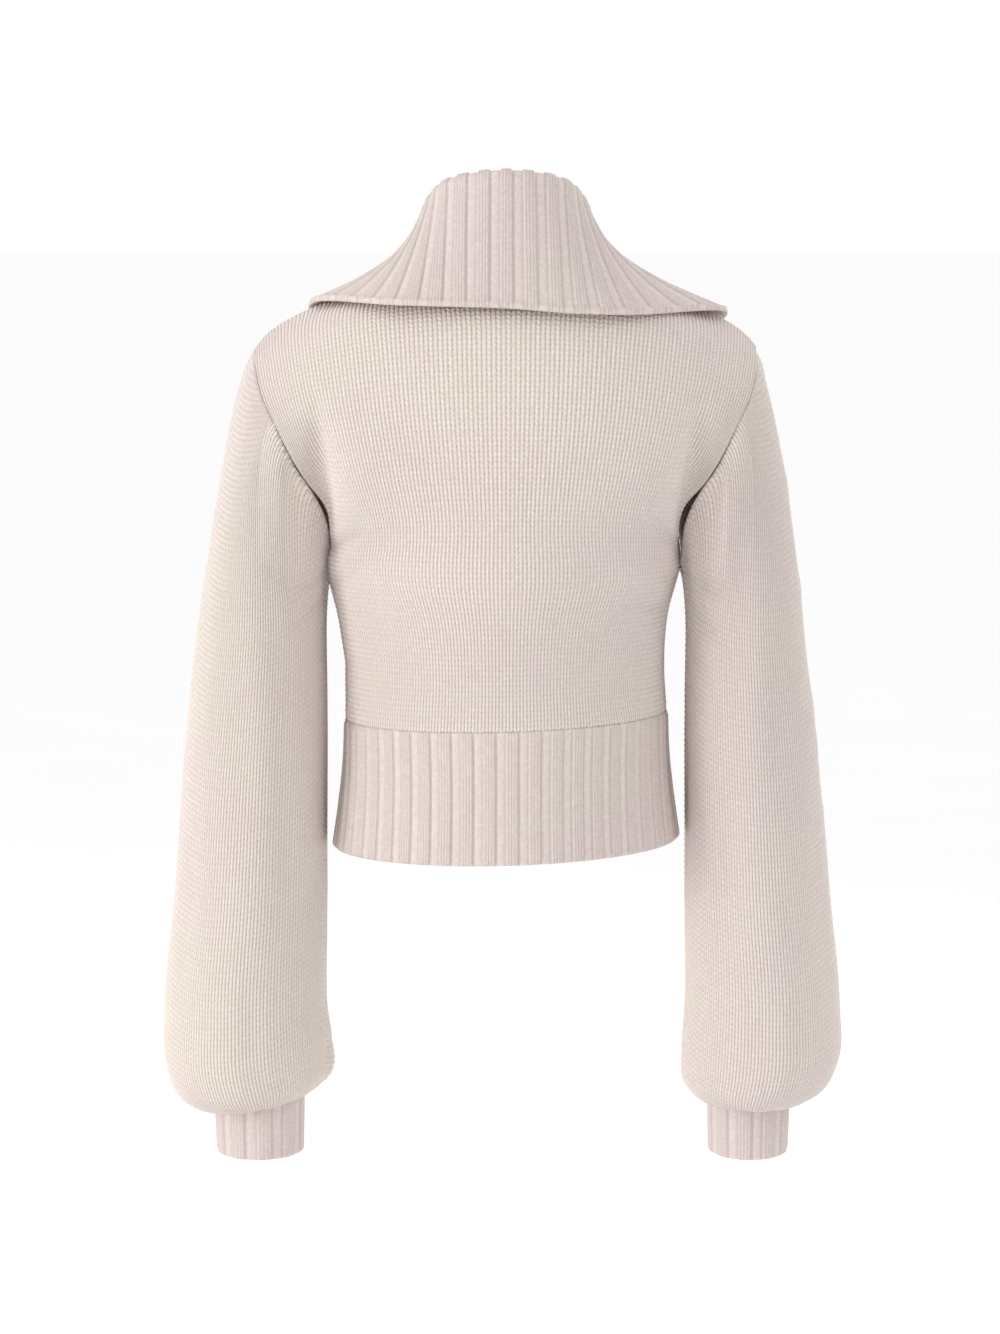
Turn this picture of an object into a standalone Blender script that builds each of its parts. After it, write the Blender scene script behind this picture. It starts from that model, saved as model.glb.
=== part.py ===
"""A cropped cardigan in chunky knit, worn and hollow: three stockinette body panels, two balloon
sleeves, a ribbed hem in three pieces, two ribbed cuffs, a wide ribbed collar that folds outward,
two button bands and six buttons. Every cloth piece is a closed wall, and pieces that are sewn
together stand a third of a millimetre apart.

Sizes below are in millimetres. +Z is up, the front faces -Y and the wearer's left is +X. The
origin lies between the two neck points, where the garment hangs on the shoulders.
"""

import math
from collections import namedtuple

import bpy
import numpy as np

MM = 0.001

# Cloth
WALL = 2.6  # thickness of the knit
SEAM_GAP = 0.34  # space between sewn edges
NECK_SEAM_GAP = 0.5  # under the collar, where the edges twist
RIB_RAISE = 1.6  # height of a rib over its recess

# Ribs in their repeat: the places of a rib's flanks, their heights, and the height at a piece's ends
RibProfile = namedtuple("RibProfile", "flanks heights ends")
SIDE_RIBS = RibProfile(flanks=(0.05, 0.45, 0.55, 0.95), heights=(1.0, 1.0, 0.0, 0.0), ends=0.0)
CENTRED_RIBS = RibProfile(flanks=(0.20, 0.30, 0.70, 0.80), heights=(1.0, 0.0, 0.0, 1.0), ends=1.0)

MITRE_LIMIT = 1.3  # most that a wall thickens across a sharp seam
SHARP_ANGLE = 50.0  # degrees, above which an edge is shaded sharp
WELD_GRAIN = 50.0  # grains a millimetre within which two seam points are one

# Numbers of rib repeats
BACK_HEM_RIBS = 19
FRONT_HEM_RIBS = 9
CUFF_RIBS = 10
COLLAR_RIBS = 40  # twice the segments of the neckline

# Mesh divisions
HALF_COLUMNS = 12  # from the centre line to the side of a body panel
NECK_COLUMNS = 5  # of those, the ones that end at the neckline
ROW_STEPS = 2  # between two sections of the body
CAP_STEPS = 5  # between the armhole and the first sleeve ring
LONG_STEPS = 2  # between two long sleeve rings

# Body rings under the arms. The seam angle is counted from the centre back.
Ring = namedtuple("Ring", "z half_width back front seam")
HEM_RINGS = (
    Ring(z=-418.0, half_width=126.6, back=99.0, front=104.0, seam=70.0),
    Ring(z=-392.0, half_width=122.6, back=95.0, front=99.5, seam=71.5),
    Ring(z=-356.0, half_width=118.4, back=90.0, front=95.0, seam=74.0),
    Ring(z=-324.0, half_width=117.0, back=88.0, front=93.0, seam=76.0),
)
BODY_RINGS = (
    Ring(z=-324.0, half_width=117.0, back=88.0, front=93.0, seam=76.0),
    Ring(z=-290.0, half_width=115.0, back=91.5, front=99.0, seam=75.0),
    Ring(z=-250.0, half_width=117.5, back=97.5, front=109.5, seam=77.0),
    Ring(z=-216.0, half_width=126.0, back=103.0, front=117.0, seam=82.0),
)

UNDERARM_ROW = ROW_STEPS * (len(BODY_RINGS) - 1)

# Below the arms the body hangs a little lower on the wearer's left
LEAN = 0.028
LEAN_TOP = -222.0
LEAN_FULL = -324.0

# Sections above the underarm, from the centre line to the armhole seam. The wrap is how far round
# the section's arc goes, and the crown lifts the section below the neck point.
Section = namedtuple("Section", "mid_y mid_z edge_x edge_y edge_z wrap crown_y crown_z")
BACK_SECTIONS = (
    Section(107.5, -176.0, 129.0, 48.0, -177.0, 75.0, 0.0, 0.0),
    Section(110.0, -136.0, 150.0, 71.0, -134.0, 66.0, 0.0, 0.0),
    Section(109.0, -98.0, 165.0, 66.0, -104.0, 62.0, 0.0, 4.0),
    Section(104.0, -63.0, 173.5, 51.0, -87.0, 60.0, -1.0, 8.0),
    Section(93.5, -33.0, 178.5, 29.0, -71.0, 60.0, -9.0, 12.0),
)
FRONT_SECTIONS = (
    Section(-120.5, -177.0, 128.0, -45.0, -178.0, 76.0, 0.0, 3.0),
    Section(-118.0, -146.0, 146.5, -70.0, -138.0, 66.0, 1.0, 10.0),
    Section(-110.0, -119.0, 162.5, -65.0, -106.0, 62.0, 6.0, 22.0),
    Section(-101.0, -102.0, 172.0, -49.0, -88.0, 60.0, 16.0, 35.0),
    Section(-92.5, -86.5, 177.5, -27.0, -72.0, 60.0, 33.0, 48.0),
)

# Neckline and shoulder line
NECK_POINT = (75.0, 0.0, 0.0)
BACK_NECK_Y = 58.0
BACK_NECK_Z = -6.0
FRONT_NECK_Y = -82.0
FRONT_NECK_Z = -70.0
SHOULDER_BEND = ((115.0, 0.0, -22.0), (168.0, 0.0, -33.0))
SHOULDER_TIP = (180.0, 0.0, -57.0)

# The fold that the arm presses into each panel beside the armhole
ARMPIT_X = 131.0
ARMPIT_WIDTH = 11.0
ARMPIT_DEPTH = 13.0
ARMPIT_LOW = -216.0
ARMPIT_HIGH = -92.0

# How the sleeve leaves the armhole, from the underarm (share 0) to the shoulder tip (share 1)
Leave = namedtuple("Leave", "share x y z")
SLEEVE_LEAVES = (
    Leave(0.00, 0.50, 0.00, -0.85),
    Leave(0.17, 0.45, 0.55, -0.70),
    Leave(0.33, 0.80, 0.25, -0.55),
    Leave(0.50, 0.78, 0.02, -0.62),
    Leave(1.00, 0.72, 0.00, -0.69),
)
LEAVE_SHARE = 0.38
ARRIVE_SHARE = 0.80

# Level rings of a sleeve. Inner and outer are distances from the centre plane.
SleeveRing = namedtuple("SleeveRing", "z inner outer centre_y half_depth steps")
SLEEVE_RINGS = (
    SleeveRing(-270.0, 131.5, 221.5, -2.0, 62.0, LONG_STEPS),
    SleeveRing(-360.0, 131.0, 231.6, -5.0, 67.0, LONG_STEPS),
    SleeveRing(-450.0, 131.8, 239.3, -8.0, 72.0, LONG_STEPS),
    SleeveRing(-542.0, 133.5, 248.5, -12.0, 76.0, LONG_STEPS),
    SleeveRing(-586.0, 131.5, 248.0, -14.0, 75.0, 1),
    SleeveRing(-603.0, 132.5, 240.5, -15.0, 69.0, 1),
    SleeveRing(-613.0, 140.5, 228.0, -16.0, 56.0, 1),
    SleeveRing(-616.0, 147.0, 218.5, -17.0, 41.0, 1),
    SleeveRing(-607.5, 151.6, 212.4, -18.0, 31.0, 1),
)
TILT_TOP = -542.0  # below this a balloon may hang lower on its outer side
SPREAD_TOP = -120.0  # below this a sleeve may swing out
SPREAD_FULL = -420.0
LEFT_TILT = 8.0
RIGHT_TILT = 0.0
LEFT_SPREAD = 4.5
RIGHT_SPREAD = -1.0
TILT_REACH = 50.0  # distance from the sleeve's axis at which its tilt is measured

# Cuffs, from the sleeve down
CuffRing = namedtuple("CuffRing", "z inner outer centre_y half_depth")
CUFF_RINGS = (
    CuffRing(-618.0, 151.8, 212.2, -18.5, 31.0),
    CuffRing(-638.0, 152.2, 211.8, -19.5, 30.6),
    CuffRing(-659.0, 152.8, 211.2, -20.5, 30.0),
)

# Collar sections from the centre back (share 0) to the front end (share 1). The fold is the axis
# of the roll, and the bend is the point that the fall's curve leans towards.
CollarSection = namedtuple("CollarSection", "share fold bend edge")
COLLAR_SECTIONS = (
    CollarSection(0.00, (0.0, 64.0, 64.0), (0.0, 80.0, 24.0), (0.0, 103.0, -23.0)),
    CollarSection(0.22, (35.0, 53.0, 59.0), (55.0, 66.0, 18.0), (72.0, 94.0, -22.0)),
    CollarSection(0.44, (53.0, 14.0, 39.0), (67.0, 14.0, 3.0), (144.5, 12.0, -23.0)),
    CollarSection(0.62, (54.0, -28.0, 10.0), (75.0, -34.0, -12.0), (143.0, -52.0, -42.0)),
    CollarSection(0.82, (44.0, -66.0, -22.0), (72.0, -82.0, -34.0), (112.0, -98.0, -84.0)),
    CollarSection(1.00, (23.0, -92.0, -48.0), (48.0, -116.0, -58.0), (72.0, -122.0, -120.0)),
)
FOLD_RADIUS = 6.0
STAND_STEPS = 2
FOLD_STEPS = 4
FALL_SHARES = (0.22, 0.45, 0.70, 0.955, 1.0)
EDGE_BEAD = 1.3
RUN_STEP = 1e-3  # half the stretch of place over which the fold's direction is taken
STAND_GUIDE = 12.0  # length of the stand, beyond the neckline, that sets how its seam is mitred

# Button bands
BAND_HALF = 16.0
OVER_LIFT = 1.5
UNDER_LIFT = -1.45
BAND_PROFILE = ((-1.0, 0.0), (-0.95, 1.0), (-0.73, 1.0), (-0.68, 0.0),
                (0.68, 0.0), (0.73, 1.0), (0.95, 1.0), (1.0, 0.0))  # place across, height
PLAIN_PROFILE = ((-1.0, 0.0), (1.0, 0.0))
BAND_RAISE = 1.0
HEM_END_ROOM = 0.4  # for the slant of the hem's end face

# Buttons
BUTTON_LEVELS = (-92.0, -154.0, -216.0, -278.0, -340.0, -398.0)
BUTTON_SEGMENTS = 14
BUTTON_PROFILE = ((0.0, 0.0), (7.4, 0.0), (8.8, 1.0), (9.0, 2.2), (8.2, 3.1), (6.6, 2.3), (0.0, 1.9))
BUTTON_LIFT = 0.5

# Colours, linear light
CREAM = (0.72, 0.62, 0.57)
RIB_CREAM = (0.70, 0.60, 0.56)
SHELL = (0.74, 0.66, 0.58)


def smooth(low, high, value):
    """Rises from 0 at low to 1 at high with level ends."""
    part = np.clip((np.asarray(value, float) - low) / (high - low), 0.0, 1.0)
    return part * part * (3.0 - 2.0 * part)


def unit(vectors):
    """Each row of an array of vectors, at length one."""
    return vectors / np.maximum(np.linalg.norm(vectors, axis=-1, keepdims=True), 1e-12)


def leaned(points):
    """Body points with the waist and hem hanging a little lower on the wearer's left."""
    share = smooth(LEAN_TOP, LEAN_FULL, points[..., 2])
    moved = points.copy()
    moved[..., 2] -= LEAN * share * points[..., 0]
    return moved


def mirrored(grid):
    """The same points on the other side of the body."""
    return grid * np.array([-1.0, 1.0, 1.0])


# ---------------------------------------------------------------- body sections


def back_of(ring):
    """A body ring's back part as a section from the centre back to the side seam."""
    seam = math.radians(ring.seam)
    return Section(ring.back, ring.z, ring.half_width * math.sin(seam), ring.back * math.cos(seam),
                   ring.z, ring.seam, 0.0, 0.0)


def front_of(ring):
    """A body ring's front part as a section from the centre front to the side seam."""
    seam = math.radians(ring.seam)
    return Section(-ring.front, ring.z, ring.half_width * math.sin(seam), ring.back * math.cos(seam),
                   ring.z, 180.0 - ring.seam, 0.0, 0.0)


def section_points(section, shares, start_x=0.0):
    """Points of a section, from x = start_x (share 0) to its edge (share 1)."""
    wrap = math.radians(section.wrap)
    first = math.asin(start_x * math.sin(wrap) / section.edge_x) / wrap
    along = first + (1.0 - first) * np.asarray(shares, float)
    weight = (np.cos(along * wrap) - math.cos(wrap)) / (1.0 - math.cos(wrap))
    bump = np.sin(math.pi * np.clip(along, 0.0, 1.0)) ** 2
    x = section.edge_x * np.sin(along * wrap) / math.sin(wrap)
    y = section.edge_y + (section.mid_y - section.edge_y) * weight + section.crown_y * bump
    z = section.edge_z + (section.mid_z - section.edge_z) * weight + section.crown_z * bump
    return np.stack([x, y, z], axis=-1)


def neckline(turns, start_x, mid_y, mid_z):
    """Quarter-oval neckline points, from the centre line (turn 0) to the neck point (turn 1)."""
    angle = np.asarray(turns, float) * math.pi / 2.0
    x = start_x + (NECK_POINT[0] - start_x) * np.sin(angle)
    return np.stack([x, mid_y * np.cos(angle), mid_z * np.cos(angle)], axis=-1)


def shoulder(turns):
    """Shoulder line points, from the neck point (turn 0) to the shoulder tip (turn 1)."""
    part = np.asarray(turns, float)[:, None]
    corners = np.array([NECK_POINT, *SHOULDER_BEND, SHOULDER_TIP])
    rest = 1.0 - part
    return (rest**3 * corners[0] + 3 * rest**2 * part * corners[1]
            + 3 * rest * part**2 * corners[2] + part**3 * corners[3])


def top_points(start_x, mid_y, mid_z):
    """A panel's top edge: its neckline, then the shoulder line."""
    neck = neckline(np.linspace(0.0, 1.0, NECK_COLUMNS + 1), start_x, mid_y, mid_z)
    line = shoulder(np.linspace(0.0, 1.0, HALF_COLUMNS - NECK_COLUMNS + 1))
    return np.concatenate([neck, line[1:]])


def loft(rows, steps):
    """A smooth surface through rows of points, with the given number of steps to each next row."""
    rows = np.asarray(rows, float)
    span = np.linalg.norm(np.diff(rows, axis=0), axis=-1).mean(axis=-1)
    slope = np.diff(rows, axis=0) / span[:, None, None]
    tangent = np.empty_like(rows)
    tangent[0] = slope[0]
    tangent[-1] = slope[-1]
    for i in range(1, len(rows) - 1):
        tangent[i] = (slope[i - 1] * span[i] + slope[i] * span[i - 1]) / (span[i - 1] + span[i])
    found = [rows[0]]
    for i, count in enumerate(steps):
        for k in range(1, count + 1):
            t = k / count
            found.append((2 * t**3 - 3 * t**2 + 1) * rows[i] + (t**3 - 2 * t**2 + t) * span[i] * tangent[i]
                         + (3 * t**2 - 2 * t**3) * rows[i + 1] + (t**3 - t**2) * span[i] * tangent[i + 1])
    return np.array(found)


def pressed(grid, inward):
    """The grid with the armpit fold pressed in, inward being -1 on the back and +1 on the front."""
    rise = np.clip((grid[..., 2] - ARMPIT_LOW) / (ARMPIT_HIGH - ARMPIT_LOW), 0.0, 1.0)
    depth = ARMPIT_DEPTH * np.sin(math.pi * rise)
    across = (np.abs(grid[..., 0]) - ARMPIT_X) / ARMPIT_WIDTH
    moved = grid.copy()
    moved[..., 1] += inward * depth * np.exp(-0.5 * across**2)
    return moved


def half_back():
    """Outer points of the back from the centre line to the left side, bottom row first."""
    shares = np.linspace(0.0, 1.0, HALF_COLUMNS + 1)
    sections = [back_of(ring) for ring in BODY_RINGS] + list(BACK_SECTIONS)
    rows = [section_points(section, shares) for section in sections]
    rows.append(top_points(0.0, BACK_NECK_Y, BACK_NECK_Z))
    return pressed(loft(rows, [ROW_STEPS] * (len(rows) - 1)), -1.0)


def left_front_grid(back_half):
    """Outer points of the left front from its band to the side, bottom row first."""
    shares = np.linspace(0.0, 1.0, HALF_COLUMNS + 1)
    sections = [front_of(ring) for ring in BODY_RINGS] + list(FRONT_SECTIONS)
    rows = [section_points(section, shares, BAND_HALF) for section in sections]
    rows.append(top_points(BAND_HALF, FRONT_NECK_Y, FRONT_NECK_Z))
    grid = pressed(loft(rows, [ROW_STEPS] * (len(rows) - 1)), 1.0)
    side_seam = slice(0, UNDERARM_ROW + 1)
    grid[side_seam, -1] = back_half[side_seam, -1]
    return grid


def back_grid():
    """Outer points of the whole back, from the right side to the left."""
    left = half_back()
    return np.concatenate([mirrored(left)[:, :0:-1], left], axis=1)


# ---------------------------------------------------------------- sleeves


def armhole(back_half, front):
    """The left armhole as a closed loop: underarm, up the back, shoulder tip, down the front."""
    up = back_half[UNDERARM_ROW:, -1]
    down = front[UNDERARM_ROW:, -1][::-1]
    return np.concatenate([up, down[1:-1]])


def leaving(count):
    """Unit directions in which the sleeve leaves the armhole loop."""
    half = count // 2
    share = np.abs(((np.arange(count) + half) % count) - half) / half
    known = np.array(SLEEVE_LEAVES)
    found = np.stack([np.interp(share, known[:, 0], known[:, k]) for k in (1, 2, 3)], axis=-1)
    found[half:, 1] *= -1.0
    return unit(found)


def level_ring(ring, count, tilt, spread):
    """A level oval of a sleeve, from its inner side round by the back."""
    angle = 2.0 * math.pi * np.arange(count) / count
    outer = ring.outer + spread * float(smooth(SPREAD_TOP, SPREAD_FULL, ring.z))
    centre = (ring.inner + outer) / 2.0
    x = centre - (outer - ring.inner) / 2.0 * np.cos(angle)
    y = ring.centre_y + ring.half_depth * np.sin(angle)
    drop = tilt * float(smooth(TILT_TOP, SLEEVE_RINGS[-1].z, ring.z))
    z = ring.z - drop * (x - centre) / TILT_REACH
    return np.stack([x, y, z], axis=-1)


def sleeve_grid(loop, tilt, spread):
    """Outer points of a left-side sleeve, from the armhole down to the cuff seam."""
    count = len(loop)
    rings = [level_ring(ring, count, tilt, spread) for ring in SLEEVE_RINGS]
    body = loft(rings, [ring.steps for ring in SLEEVE_RINGS[:-1]])
    reach = np.linalg.norm(body[0] - loop, axis=-1, keepdims=True)
    leave = leaving(count) * reach * LEAVE_SHARE
    arrive = unit(body[1] - body[0]) * reach * ARRIVE_SHARE
    cap = []
    for k in range(CAP_STEPS):
        t = k / CAP_STEPS
        cap.append((2 * t**3 - 3 * t**2 + 1) * loop + (t**3 - 2 * t**2 + t) * leave
                   + (3 * t**2 - 2 * t**3) * body[0] + (t**3 - t**2) * arrive)
    return np.concatenate([np.array(cap), body])


# ---------------------------------------------------------------- walls


def grid_faces(grid, closed):
    """Area vectors of a grid's quads, shaped (rows - 1, columns or columns - 1, 3)."""
    right = np.roll(grid, -1, axis=1) if closed else grid[:, 1:]
    here = grid if closed else grid[:, :-1]
    return np.cross(right[1:] - here[:-1], here[1:] - right[:-1]) / 2.0


class Welded:
    """Shared point directions of several grids that meet at their seams."""

    def __init__(self):
        self.total = {}
        self.faces = {}
        self.fixed = {}

    @staticmethod
    def key(point):
        """The name under which a point is shared."""
        return tuple(int(round(value * WELD_GRAIN)) for value in point)

    def add(self, grid, closed, turn):
        """Adds a grid's faces, turn being +1 where their order already faces outward."""
        normals = unit(grid_faces(grid, closed)) * turn
        columns = grid.shape[1]
        for i in range(normals.shape[0]):
            for j in range(normals.shape[1]):
                following = (j + 1) % columns
                for point in (grid[i, j], grid[i, following], grid[i + 1, j], grid[i + 1, following]):
                    name = self.key(point)
                    self.total[name] = self.total.get(name, 0.0) + normals[i, j]
                    self.faces.setdefault(name, []).append(normals[i, j])

    def fix(self, point, direction):
        """Gives the outward direction at a point where the faces' own would nearly cancel out."""
        self.fixed[self.key(point)] = np.asarray(direction, float)

    def offsets(self, grid):
        """Outward vectors whose length keeps a wall's thickness across bends."""
        found = np.empty_like(grid)
        for index in np.ndindex(grid.shape[:2]):
            name = self.key(grid[index])
            direction = self.fixed.get(name, unit(self.total[name]))
            facing = np.mean([float(face @ direction) for face in self.faces[name]])
            found[index] = direction * min(1.0 / max(facing, 0.1), MITRE_LIMIT)
        return found


def inset_vectors(grid, left, right, bottom, top):
    """In-surface shifts that pull the named edges of a grid back from their seams."""
    shift = np.zeros_like(grid)
    share = SEAM_GAP / 2.0

    def pull(edge, inner):
        run = unit(np.gradient(edge, axis=0))
        away = inner - edge
        return unit(away - (away * run).sum(axis=-1, keepdims=True) * run)

    sides = []
    if bottom:
        sides.append((np.s_[0, :], pull(grid[0], grid[1])))
    if top:
        sides.append((np.s_[-1, :], pull(grid[-1], grid[-2])))
    if left:
        sides.append((np.s_[:, 0], pull(grid[:, 0], grid[:, 1])))
    if right:
        sides.append((np.s_[:, -1], pull(grid[:, -1], grid[:, -2])))
    for place, vectors in sides:
        before = shift[place]
        both = (np.linalg.norm(before, axis=-1, keepdims=True) > 0.0)
        met = 1.0 + (unit(before) * vectors).sum(axis=-1, keepdims=True)
        shift[place] = np.where(both, (before + share * vectors) / np.maximum(met, 0.5), share * vectors)
    return shift


def zipped(first, first_at, second, second_at):
    """Triangles between two lines of points whose places run from 0 to 1."""
    faces = []
    i = j = 0
    while i < len(first) - 1 or j < len(second) - 1:
        step_first = j == len(second) - 1 or (
            i < len(first) - 1
            and first_at[i + 1] + first_at[i] <= second_at[j + 1] + second_at[j] + 1e-6)
        if step_first:
            faces.append((first[i], first[i + 1], second[j]))
            i += 1
        else:
            faces.append((first[i], second[j + 1], second[j]))
            j += 1
    return faces


def paired(first, second, points):
    """Triangles between two lines of as many points, each quad split at its shorter diagonal."""
    faces = []
    for i in range(len(first) - 1):
        rising = np.linalg.norm(points[first[i]] - points[second[i + 1]])
        falling = np.linalg.norm(points[first[i + 1]] - points[second[i]])
        if rising < falling:
            faces.append((first[i], first[i + 1], second[i + 1]))
            faces.append((first[i], second[i + 1], second[i]))
        else:
            faces.append((first[i], first[i + 1], second[i]))
            faces.append((first[i + 1], second[i + 1], second[i]))
    return faces


def enclosed(points, faces):
    """Six times the volume inside the faces, negative where they point inward."""
    total = 0.0
    for face in faces:
        for k in range(1, len(face) - 1):
            total += float(points[face[0]] @ np.cross(points[face[k]], points[face[k + 1]]))
    return total


def solid_mesh(name, points, faces):
    """A mesh whose faces point outward."""
    if enclosed(points, faces) < 0.0:
        faces = [tuple(face)[::-1] for face in faces]
    mesh = bpy.data.meshes.new(name)
    mesh.from_pydata(points.tolist(), [], faces)
    mesh.update()
    return mesh


def wall_mesh(name, outer, outer_at, inner, inner_at, closed, leans=False):
    """A closed wall from outer and inner grids with equal rows."""
    if leans:
        outer = leaned(outer)
        inner = leaned(inner)
    rows, wide = outer.shape[:2]
    narrow = inner.shape[1]
    points = np.concatenate([outer.reshape(-1, 3), inner.reshape(-1, 3)]) * MM
    base = rows * wide
    faces = []

    def outer_line(row):
        line = [row * wide + j for j in range(wide)]
        return line + line[:1] if closed else line

    def inner_line(row):
        line = [base + row * narrow + j for j in range(narrow)]
        return line + line[:1] if closed else line

    for i in range(rows - 1):
        low, high = outer_line(i), outer_line(i + 1)
        faces += [(low[j], low[j + 1], high[j + 1], high[j]) for j in range(len(low) - 1)]
        low, high = inner_line(i), inner_line(i + 1)
        faces += [(high[j], high[j + 1], low[j + 1], low[j]) for j in range(len(low) - 1)]

    def rim(row):
        if wide == narrow:
            return paired(outer_line(row), inner_line(row), points)
        return zipped(outer_line(row), outer_at, inner_line(row), inner_at)

    def side(column, other):
        outer_side = [i * wide + column for i in range(rows)]
        inner_side = [base + i * narrow + other for i in range(rows)]
        return paired(outer_side, inner_side, points)

    faces += [face[::-1] for face in rim(0)]
    faces += rim(rows - 1)
    if not closed:
        faces += side(0, 0)
        faces += [face[::-1] for face in side(wide - 1, narrow - 1)]
    return solid_mesh(name, points, faces)


def finished(name, mesh, colour, roughness):
    """An object for a mesh, shaded smooth, with its own material."""
    item = bpy.data.objects.new(name, mesh)
    bpy.context.scene.collection.objects.link(item)
    mesh.shade_smooth()
    mesh.set_sharp_from_angle(angle=math.radians(SHARP_ANGLE))
    material = bpy.data.materials.new(name + "_knit")
    material.use_nodes = True
    shader = material.node_tree.nodes["Principled BSDF"]
    shader.inputs["Base Color"].default_value = (*colour, 1.0)
    shader.inputs["Roughness"].default_value = roughness
    shader.inputs["Metallic"].default_value = 0.0
    mesh.materials.append(material)
    return item


def plain_wall(name, grid, offsets, shift, leans):
    """A wall whose inner points follow its outer ones."""
    at = np.linspace(0.0, 1.0, grid.shape[1])
    outer = grid + shift
    inner = outer - WALL * offsets
    mesh = wall_mesh(name, outer, at, inner, at, False, leans)
    return finished(name, mesh, CREAM, 0.9)


# ---------------------------------------------------------------- ribbed pieces


def rib_columns(repeats, closed, profile):
    """Places and heights of a ribbed surface's columns, and the places of its plain side's."""
    at = [(k + part) / repeats for k in range(repeats) for part in profile.flanks]
    heights = list(profile.heights) * repeats
    plain = [k / repeats for k in range(repeats + (0 if closed else 1))]
    if not closed:
        at = [0.0, *at, 1.0]
        heights = [profile.ends, *heights, profile.ends]
    return np.array(at), np.array(heights), np.array(plain)


def surface_normals(surface, places, closed):
    """Unit normals of surface(places), a function that gives rows of points at the places."""
    small = 1e-4
    lower = places - small if closed else np.clip(places - small, 0.0, 1.0)
    upper = places + small if closed else np.clip(places + small, 0.0, 1.0)
    along = surface(upper) - surface(lower)
    down = np.gradient(surface(places), axis=0)
    return unit(np.cross(along, down))


def ribbed_wall(surface, repeats, closed, raised_rows, turn, beads=0.0, profile=SIDE_RIBS):
    """The two sides of a wall with ribs raised on the surface's outer side.

    raised_rows scales the ribs row by row, and beads raises whole rows, as at a bound edge.
    """
    at, heights, plain = rib_columns(repeats, closed, profile)
    outer_base = surface(at)
    outer_normals = surface_normals(surface, at, closed) * turn
    inner_base = surface(plain)
    inner_normals = surface_normals(surface, plain, closed) * turn
    raised = RIB_RAISE * heights[None, :] * np.asarray(raised_rows)[:, None]
    raised = raised + np.broadcast_to(beads, (len(outer_base),))[:, None]
    outer = outer_base + outer_normals * raised[..., None]
    inner = inner_base - inner_normals * WALL
    return outer, at, inner, plain


def oval_at(ring, angles):
    """Points of a body ring at angles from the centre back towards the left."""
    depth = np.where(np.cos(angles) > 0.0, ring.back, ring.front)
    x = ring.half_width * np.sin(angles)
    return np.stack([x, depth * np.cos(angles), np.full_like(x, ring.z)], axis=-1)


def hem_surface(start, end):
    """A function of place for a stretch of hem between two (degrees, inset) ends of each ring."""
    levels = [ring.z for ring in HEM_RINGS]
    levels[-1] -= SEAM_GAP

    def surface(places):
        rows = []
        for ring, level in zip(HEM_RINGS, levels):
            first = start(ring)
            last = end(ring)
            row = oval_at(ring, first + (last - first) * places)
            row[:, 2] = level
            rows.append(row)
        return np.array(rows)

    return surface


def seam_angle(ring, inset, side):
    """The angle of a ring's side seam, moved by inset millimetres along the ring."""
    return side * (math.radians(ring.seam) + inset / ring.half_width)


def band_angle(ring, side):
    """The angle at which a ring meets the button band."""
    reach = BAND_HALF + SEAM_GAP / 2.0 + HEM_END_ROOM
    return side * (math.pi - math.asin(reach / ring.half_width))


def make_hem():
    """The three ribbed pieces of the hem."""
    half = SEAM_GAP / 2.0
    raised = (1.0,) * len(HEM_RINGS)
    pieces = (
        ("back_hem_rib", BACK_HEM_RIBS,
         lambda ring: seam_angle(ring, -half, -1.0), lambda ring: seam_angle(ring, -half, 1.0)),
        ("left_front_hem_rib", FRONT_HEM_RIBS,
         lambda ring: seam_angle(ring, half, 1.0), lambda ring: band_angle(ring, 1.0)),
        ("right_front_hem_rib", FRONT_HEM_RIBS,
         lambda ring: seam_angle(ring, half, -1.0), lambda ring: band_angle(ring, -1.0)),
    )
    for name, repeats, start, end in pieces:
        turn = 1.0 if name == "right_front_hem_rib" else -1.0
        parts = ribbed_wall(hem_surface(start, end), repeats, False, raised, turn)
        finished(name, wall_mesh(name, *parts, False, leans=True), RIB_CREAM, 0.9)


def along_line(line, places, closed):
    """Points at places from 0 to 1 along a line of points, by their numbers."""
    points = np.concatenate([line, line[:1]]) if closed else line
    number = np.clip(np.asarray(places, float), 0.0, 1.0) * (len(points) - 1)
    whole = np.minimum(number.astype(int), len(points) - 2)
    part = (number - whole)[:, None]
    return points[whole] * (1.0 - part) + points[whole + 1] * part


def make_cuff(name, sleeve_outer, sleeve_inner, side, spread):
    """A ribbed cuff under the sleeve's last ring, whose outer and inner points are given."""

    def surface(places):
        top = along_line(sleeve_outer, places % 1.0, True)
        rows = [top + np.array([0.0, 0.0, -SEAM_GAP])]
        for ring in CUFF_RINGS:
            angle = 2.0 * math.pi * places
            centre = (ring.inner + ring.outer + spread) / 2.0
            x = centre - (ring.outer + spread - ring.inner) / 2.0 * np.cos(angle)
            y = ring.centre_y + ring.half_depth * np.sin(angle)
            rows.append(np.stack([side * x, y, np.full_like(x, ring.z)], axis=-1))
        return np.array(rows)

    outer, at, inner, plain = ribbed_wall(surface, CUFF_RIBS, True, (0.0, 1.0, 1.0, 1.0), side)
    inner[0] = along_line(sleeve_inner, plain, True) + np.array([0.0, 0.0, -SEAM_GAP])
    at = np.append(at, at[0] + 1.0)
    plain = np.append(plain, plain[0] + 1.0)
    finished(name, wall_mesh(name, outer, at, inner, plain, True), RIB_CREAM, 0.9)


# ---------------------------------------------------------------- collar


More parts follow.
